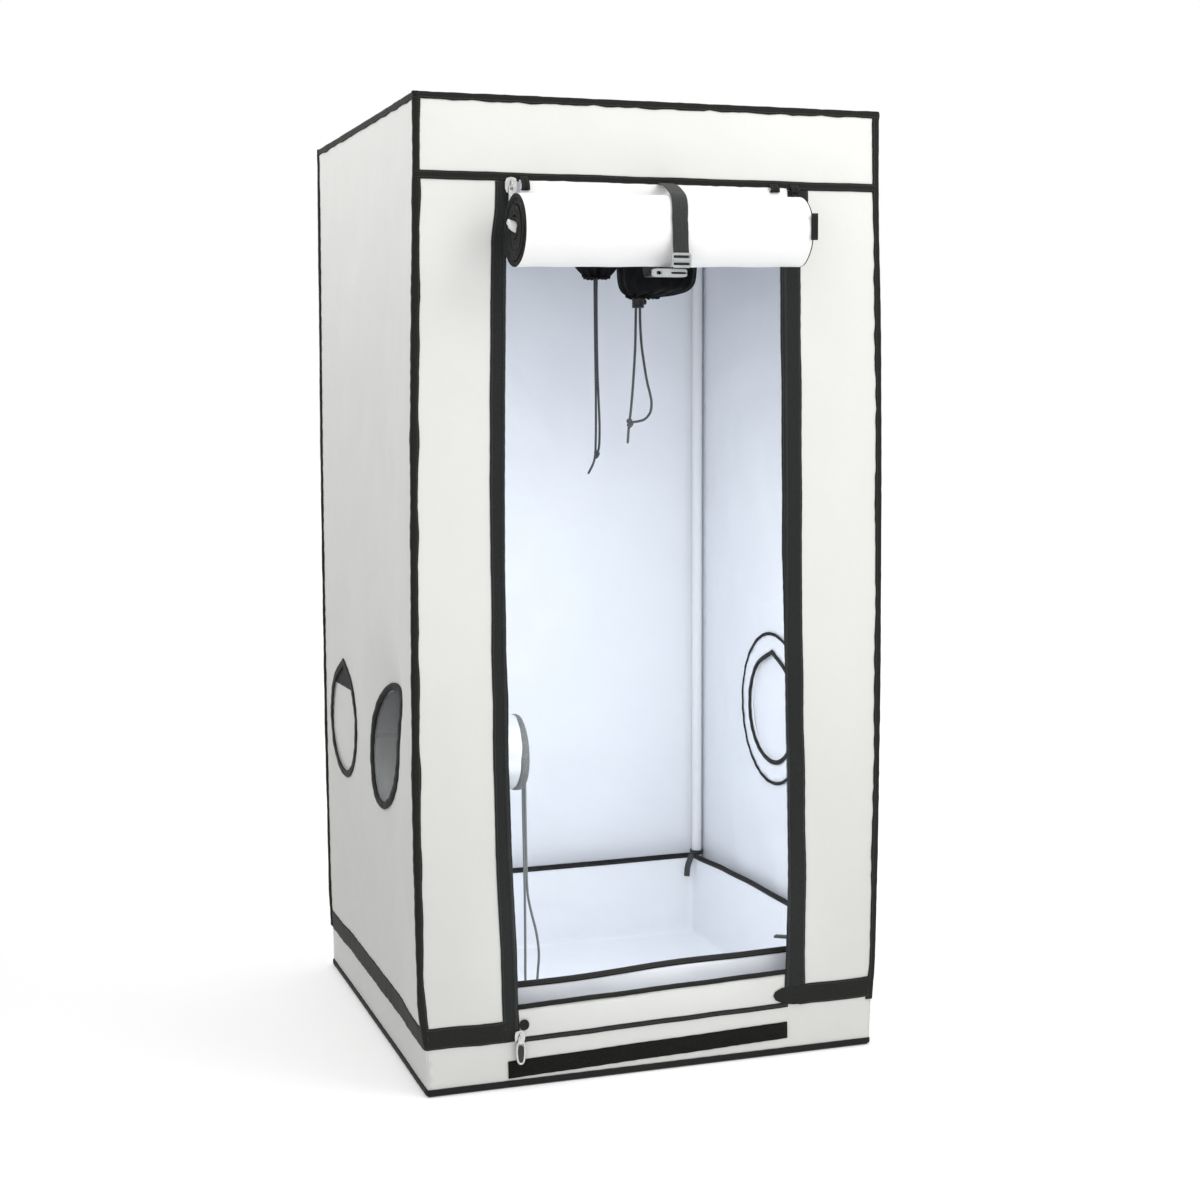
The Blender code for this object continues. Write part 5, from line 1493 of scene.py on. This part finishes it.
def drawstrings():
    v, f, t = together(knot((0.0513, -0.0600, 0.8240), (-0.1, 0, 1), 0.0046),
                       knot((0.0522, -0.0606, 0.8205), (0.8, 0.1, 0.6), 0.0036, 1.3))
    front_knot = piece("front_knot", v, f, M["cord"], slot="cord", uv=t)
    v, f, t = together(knot((0.0746, 0.1500, 0.7752), (0.1, 0, 1), 0.0044),
                       knot((0.0750, 0.1494, 0.7722), (0.7, 0.1, 0.7), 0.0034, 1.3))
    rear_knot = piece("rear_knot", v, f, M["cord"], slot="cord", uv=t)
    drawstring("front_string_a", "drawstring_front_a", -0.060, FRONT_A, 0.0)
    drawstring("front_string_b", "drawstring_front_b", -0.060, FRONT_B, 0.0)
    drawstring("rear_string_a", "drawstring_rear_a", 0.150, REAR_A, 1.0)
    drawstring("rear_string_b", "drawstring_rear_b", 0.150, REAR_B, 1.0)
    drawstring("left_string", "drawstring_left", -0.094, LEFT, 0.0, mat="cord_grey")

    # cord lock: a ribbed barrel with a spring button
    x, y, z = 0.0638, -0.0600, 0.9858
    a = np.arange(40) * TAU / 40
    prof = [(0.0054, -0.0072), (0.0076, -0.0072), (0.0082, -0.0064), (0.0082, -0.0034), (0.0078, -0.0027),
            (0.0082, -0.0020), (0.0082, 0.0008), (0.0078, 0.0015), (0.0082, 0.0022), (0.0082, 0.0064),
            (0.0076, 0.0072), (0.0054, 0.0072)]
    pts, faces = [], []
    for r, h in prof:
        pts += [(x + r * math.cos(t), y + r * math.sin(t), z + h) for t in a]
    for k in range(len(prof)):
        m = (k + 1) % len(prof)
        for j in range(40):
            i = (j + 1) % 40
            faces.append((k * 40 + j, k * 40 + i, m * 40 + i, m * 40 + j))
    uv = [[(0.0, 0.0)] * 4 for _ in faces]
    body = (np.array(pts), faces, uv)
    button = rod((x + 0.0074, y, z + 0.001), (x + 0.0112, y, z + 0.001), 0.0036, 24)
    v, f, t = together(body, button)
    obj = piece("cord_lock_barrel", v, f, M["black"], "lock", "lock_plastic", ["cord_lock"], uv=t, crisp=50)
    soften(obj, 0.0005)


# ---------------------------------------------------------------- spill tray
def tray():
    a, r, top = 0.2785, 0.0125, 0.1285
    per = []
    for q, (cx, cy) in enumerate(((a - r, a - r), (-a + r, a - r), (-a + r, -a + r), (a - r, -a + r))):
        corner = [(cx + r * math.cos(math.pi / 2 * (q + k / 7)), cy + r * math.sin(math.pi / 2 * (q + k / 7)))
                  for k in range(8)]
        per += corner
    per = dense(per, 0.0095)
    per = np.array(per)
    n = len(per)
    nrm = np.roll(per, -1, 0) - np.roll(per, 1, 0)
    nrm = np.stack([nrm[:, 1], -nrm[:, 0]], 1)
    nrm /= np.linalg.norm(nrm, axis=1)[:, None]
    nrm *= np.sign((nrm * per).sum(1))[:, None]
    run = np.concatenate([[0.0], np.cumsum(np.linalg.norm(np.diff(per, axis=0), axis=1))])
    mid = np.minimum(np.abs(per[:, 0]), np.abs(per[:, 1])) / a
    free = ease((1 - mid) / 0.75)
    w1, w2 = ripples(101, 6, 0.09, 0.30), ripples(102, 6, 0.03, 0.09)
    levels = [(z, 1.0) for z in np.linspace(top, 0.0070, 15)] + [(0.0036, 0.9945), (0.0020, 0.987)]
    levels += [(0.0017, s) for s in np.linspace(0.96, 0.02, 18)]
    rim_z = 0.0012 * field(ripples(103, 5, 0.08, 0.30), run, run * 0) * free
    near = ease((0.1 - per[:, 1]) / 0.3)
    rim_z += near * (0.0100 * ease((per[:, 0] + 0.2) / 0.45) - 0.0036)
    lean = (nrm[:, 0] > 0.9) * ease((0.268 - per[:, 1]) / 0.10) * ease((per[:, 1] + 0.268) / 0.10)  # right wall of the tray
    rim_z += 0.0040 * lean * ease((0.26 - per[:, 1]) / 0.2)
    rings = []
    for z, s in levels:
        h = np.clip(z / top, 0, 1)
        out = -(0.0030 * free * h ** 1.5 * (1 + 0.8 * field(w1, run, run * 0 + z)))
        out += 0.0095 * h ** 1.5 * lean
        out += 0.0009 * field(w2, run, run * 0 + z * 1.5) * np.sin(math.pi * h) * free
        out -= 0.0036 * (1 - h)
        p = (per + nrm * (out * (s > 0.98))[:, None]) * (s if s > 0.98 else s * 0.987)
        floor = 0.0
        if s < 0.99:
            floor = 0.0006 * np.abs(field(ripples(104, 6, 0.07, 0.25), p[:, 0], p[:, 1]))
        rings.append(np.c_[p, np.full(n, z) + rim_z * h * (s > 0.999) + floor])
    pts = np.array(rings)
    down = np.concatenate([[0.0], np.cumsum(np.linalg.norm(np.diff(pts[:, n // 8], axis=0), axis=1))])
    faces, uv = [], []
    for i in range(len(levels) - 1):
        for j in range(n):
            m = (j + 1) % n
            faces.append((i * n + j, i * n + m, (i + 1) * n + m, (i + 1) * n + j))
            if levels[i + 1][1] > 0.98:
                u0, u1 = run[j], run[j] + 0.0095
                uv.append([(u0, down[i]), (u1, down[i]), (u1, down[i + 1]), (u0, down[i + 1])])
            else:
                uv.append([tuple(pts[i, j, :2]), tuple(pts[i, m, :2]), tuple(pts[i + 1, m, :2]), tuple(pts[i + 1, j, :2])])
    faces.append(tuple((len(levels) - 1) * n + j for j in range(n)))
    uv.append([tuple(pts[-1, j, :2]) for j in range(n)])
    obj = piece("tray_cloth", pts.reshape(-1, 3), faces, M["tray"], "tray", "tray_sheet", ["spill_tray"], uv=uv,
                closed=False)
    solid = obj.modifiers.new("thickness", "SOLIDIFY")
    solid.thickness, solid.offset = 0.0010, 0.0
    rim = pts[0]
    nr = np.c_[nrm, np.zeros(n)]
    t = np.roll(rim, -1, 0) - np.roll(rim, 1, 0)
    t /= np.linalg.norm(t, axis=1)[:, None]
    e2 = np.array((0.0, 0.0, 1.0))
    w = 0.0017
    sec = np.array([(-w, -0.0044), (-w * 1.05, -0.0010), (-w * 0.9, 0.0020), (-w * 0.35, 0.0034), (w * 0.35, 0.0034),
                    (w * 0.9, 0.0020), (w * 1.05, -0.0010), (w, -0.0044)])
    vs = [0.0, 0.0030, 0.0050, 0.0060, 0.0060, 0.0050, 0.0030, 0.0]
    v, f, uv = sweep(rim, nr, e2, sec, vs, loop=True)
    piece("tray_rim", v, f, M["binding"], "tray", "binding_tape", uv=uv)

    # straps that tie the rim to the corner poles
    parts = []
    for sx, sy, full in ((1, 1, True), (1, -1, False), (-1, 1, True)):
        p = np.array((sx * POLE_XY, sy * POLE_XY))
        d = np.array((-sx, -sy)) / math.sqrt(2)
        side = np.array((-d[1], d[0], 0.0))
        if full and sy > 0:
            a_ = np.linspace(0, TAU, 41)[:-1]
            ring = np.c_[p[0] + 0.0094 * np.cos(a_), p[1] + 0.0094 * np.sin(a_), np.full(40, TRAY_TOP + 0.0030)]
            parts.append(along(ring, np.c_[np.cos(a_), np.sin(a_), 0 * a_], 0.0070, 0.0012, loop=True, sink=0.0))
        reach = [(0.0098, 0.0032), (0.0140, 0.0046), (0.0185, 0.0044), (0.0225, 0.0010), (0.0270, -0.0050),
                 (0.0330, -0.0100), (0.0372, -0.0170), (0.0395, -0.0290)]
        if not full:
            reach = [(0.0098, 0.0050), (0.0300, 0.0088), (0.0550, 0.0092), (0.0800, 0.0078), (0.0980, 0.0060), (0.1150, 0.0050)]
        path = np.array([(p[0] + d[0] * s, p[1] + d[1] * s, TRAY_TOP + h) for s, h in reach])
        tt = np.gradient(path, axis=0)
        nn = np.cross(side, tt)
        nn /= np.linalg.norm(nn, axis=1)[:, None]
        parts.append(along(path, nn, 0.0100, 0.0012 if full else 0.0034, sink=0.0))
    v, f, uv = together(*parts)
    piece("tray_ties", v, f, M["webbing"], "tray", "webbing", ["tray_strap"], uv=uv)


TRAY_TOP = 0.1275


# ---------------------------------------------------------------- poles
def poles():
    reach = POLE_XY - 0.0125
    for e, sy in (("f", -1), ("b", 1)):
        for s, sx in (("l", -1), ("r", 1)):
            x, y = sx * POLE_XY, sy * POLE_XY
            v, f, t = rod((x, y, RAIL_LOW + 0.0125), (x, y, RAIL_TOP - 0.0125), 0.008, 36, 0.0008)
            piece("pole_%s%s" % (e, s), v, f, M["steel"], slot="frame_steel", replaces=["upright_" + e + s], uv=t,
                  crisp=50)
            for word, z, up in (("low", RAIL_LOW, 1), ("top", RAIL_TOP, -1)):
                c = np.array((x, y, z))
                parts = [block(x, y, z, 0.0204, 0.0204, 0.0204)]
                for way in ((-sx, 0, 0), (0, -sy, 0), (0, 0, up)):
                    w = np.array(way, float)
                    parts.append(rod(c + w * 0.0095, c + w * 0.0450, 0.0098, 32, 0.0015))
                v, f, t = together(*parts)
                obj = piece("connector_%s_%s%s" % (word, e, s), v, f, M["steel"], slot="frame_steel",
                            replaces=["corner_%s_%s%s" % (word, e, s)], uv=t, crisp=50)
                soften(obj, 0.0009)
    for level, z in (("low", RAIL_LOW), ("top", RAIL_TOP)):
        for word, sy in (("front", -1), ("back", 1)):
            v, f, t = rod((-reach, sy * POLE_XY, z), (reach, sy * POLE_XY, z), 0.008, 36, 0.0008)
            piece("bar_%s_%s" % (level, word), v, f, M["steel"], slot="frame_steel",
                  replaces=["rail_%s_%s" % (level, word)], uv=t, crisp=50)
        for word, sx in (("left", -1), ("right", 1)):
            v, f, t = rod((sx * POLE_XY, -reach, z), (sx * POLE_XY, reach, z), 0.008, 36, 0.0008)
            piece("bar_%s_%s" % (level, word), v, f, M["steel"], slot="frame_steel",
                  replaces=["rail_%s_%s" % (level, word)], uv=t, crisp=50)
    for word, y in (("front", -0.160), ("back", 0.048)):
        parts = [rod((-0.2786, y, RAIL_TOP), (0.2786, y, RAIL_TOP), 0.008, 36, 0.0008)]
        for s in (-1, 1):
            path = [(s * 0.2640, y, RAIL_TOP + 0.0072), (s * 0.2700, y, RAIL_TOP + 0.0080),
                    (s * 0.2800, y, RAIL_TOP + 0.0084)]
            for k in range(9):
                t = math.radians(90 - 13.5 * k)
                path.append((s * (POLE_XY + 0.0084 * math.cos(t)), y, RAIL_TOP + 0.0084 * math.sin(t)))
            path = np.array(path)
            tt = np.gradient(path, axis=0)
            nn = np.cross(tt, (0, 1.0, 0)) * -s
            nn /= np.linalg.norm(nn, axis=1)[:, None]
            parts.append(along(path, nn, 0.012, 0.0014, sink=0.0))
        v, f, t = together(*parts)
        piece("hanging_bar_%s_steel" % word, v, f, M["steel"], "bar_" + word, "frame_steel", ["hanging_bar_" + word],
              uv=t, crisp=50)


def card(name, corners, colour, out=0.0):
    """A flat studio card from four corners."""
    mesh = bpy.data.meshes.new(name)
    mesh.from_pydata(corners, [], [(0, 1, 2, 3)])
    sh = Shade(name, colour, 0.8, spec=0.1)
    sh.tint(sh.ramp(sh.noise(3, 3), 0.3, 0.7), 0.995, 1.005)
    sh.bsdf.inputs["Emission Color"].default_value = (1.0, 1.0, 1.0, 1.0)
    sh.bsdf.inputs["Emission Strength"].default_value = out
    mesh.materials.append(sh.done())
    obj = bpy.data.objects.new(name, mesh)
    bpy.context.scene.collection.objects.link(obj)
    return obj


def stage():
    z = -0.0004
    card("floor", [(-14, -14, z), (14, -14, z), (14, 14, z), (-14, 14, z)], (0.86, 0.86, 0.86), 0.25)
    flag = card("flag", [(-1.45, -1.2, 0.0), (-1.45, 1.4, 0.0), (-1.45, 1.4, 0.95), (-1.45, -1.2, 0.95)], (0.06, 0.06, 0.06))
    flag.visible_camera = False
    world = bpy.data.worlds.new("studio")
    world.use_nodes = True
    sky = world.node_tree.nodes["Background"]
    sky.inputs[0].default_value = (1.0, 1.0, 1.0, 1.0)
    sky.inputs[1].default_value = 1.0
    bpy.context.scene.world = world
    bpy.context.scene.view_settings.view_transform = "Standard"
    area("key", (0.9, -1.45, 2.15), (0.05, -0.3, 0.95), 0.9, 9.0, (1.0, 0.99, 0.965))
    area("side", (-1.7, 0.1, 2.2), (-0.3, 0.0, 1.0), 0.9, 6.5, (1.0, 1.0, 1.0))
    area("doorway", (0.0, -0.262, 0.50), (0.0, 0.3, 0.36), 0.30, 1.55, (0.950, 0.982, 1.0), size_y=0.70)
    area("inner", (0.0, 0.03, 1.165), (0.0, 0.03, 0.0), 0.44, 0.55, (0.93, 0.96, 1.0), spread=75)


camera()
cover()
bindings()
zip_tapes()
door()
strap()
sliders()
vents()
roof_ports()
drawstrings()
tray()
poles()
stage()
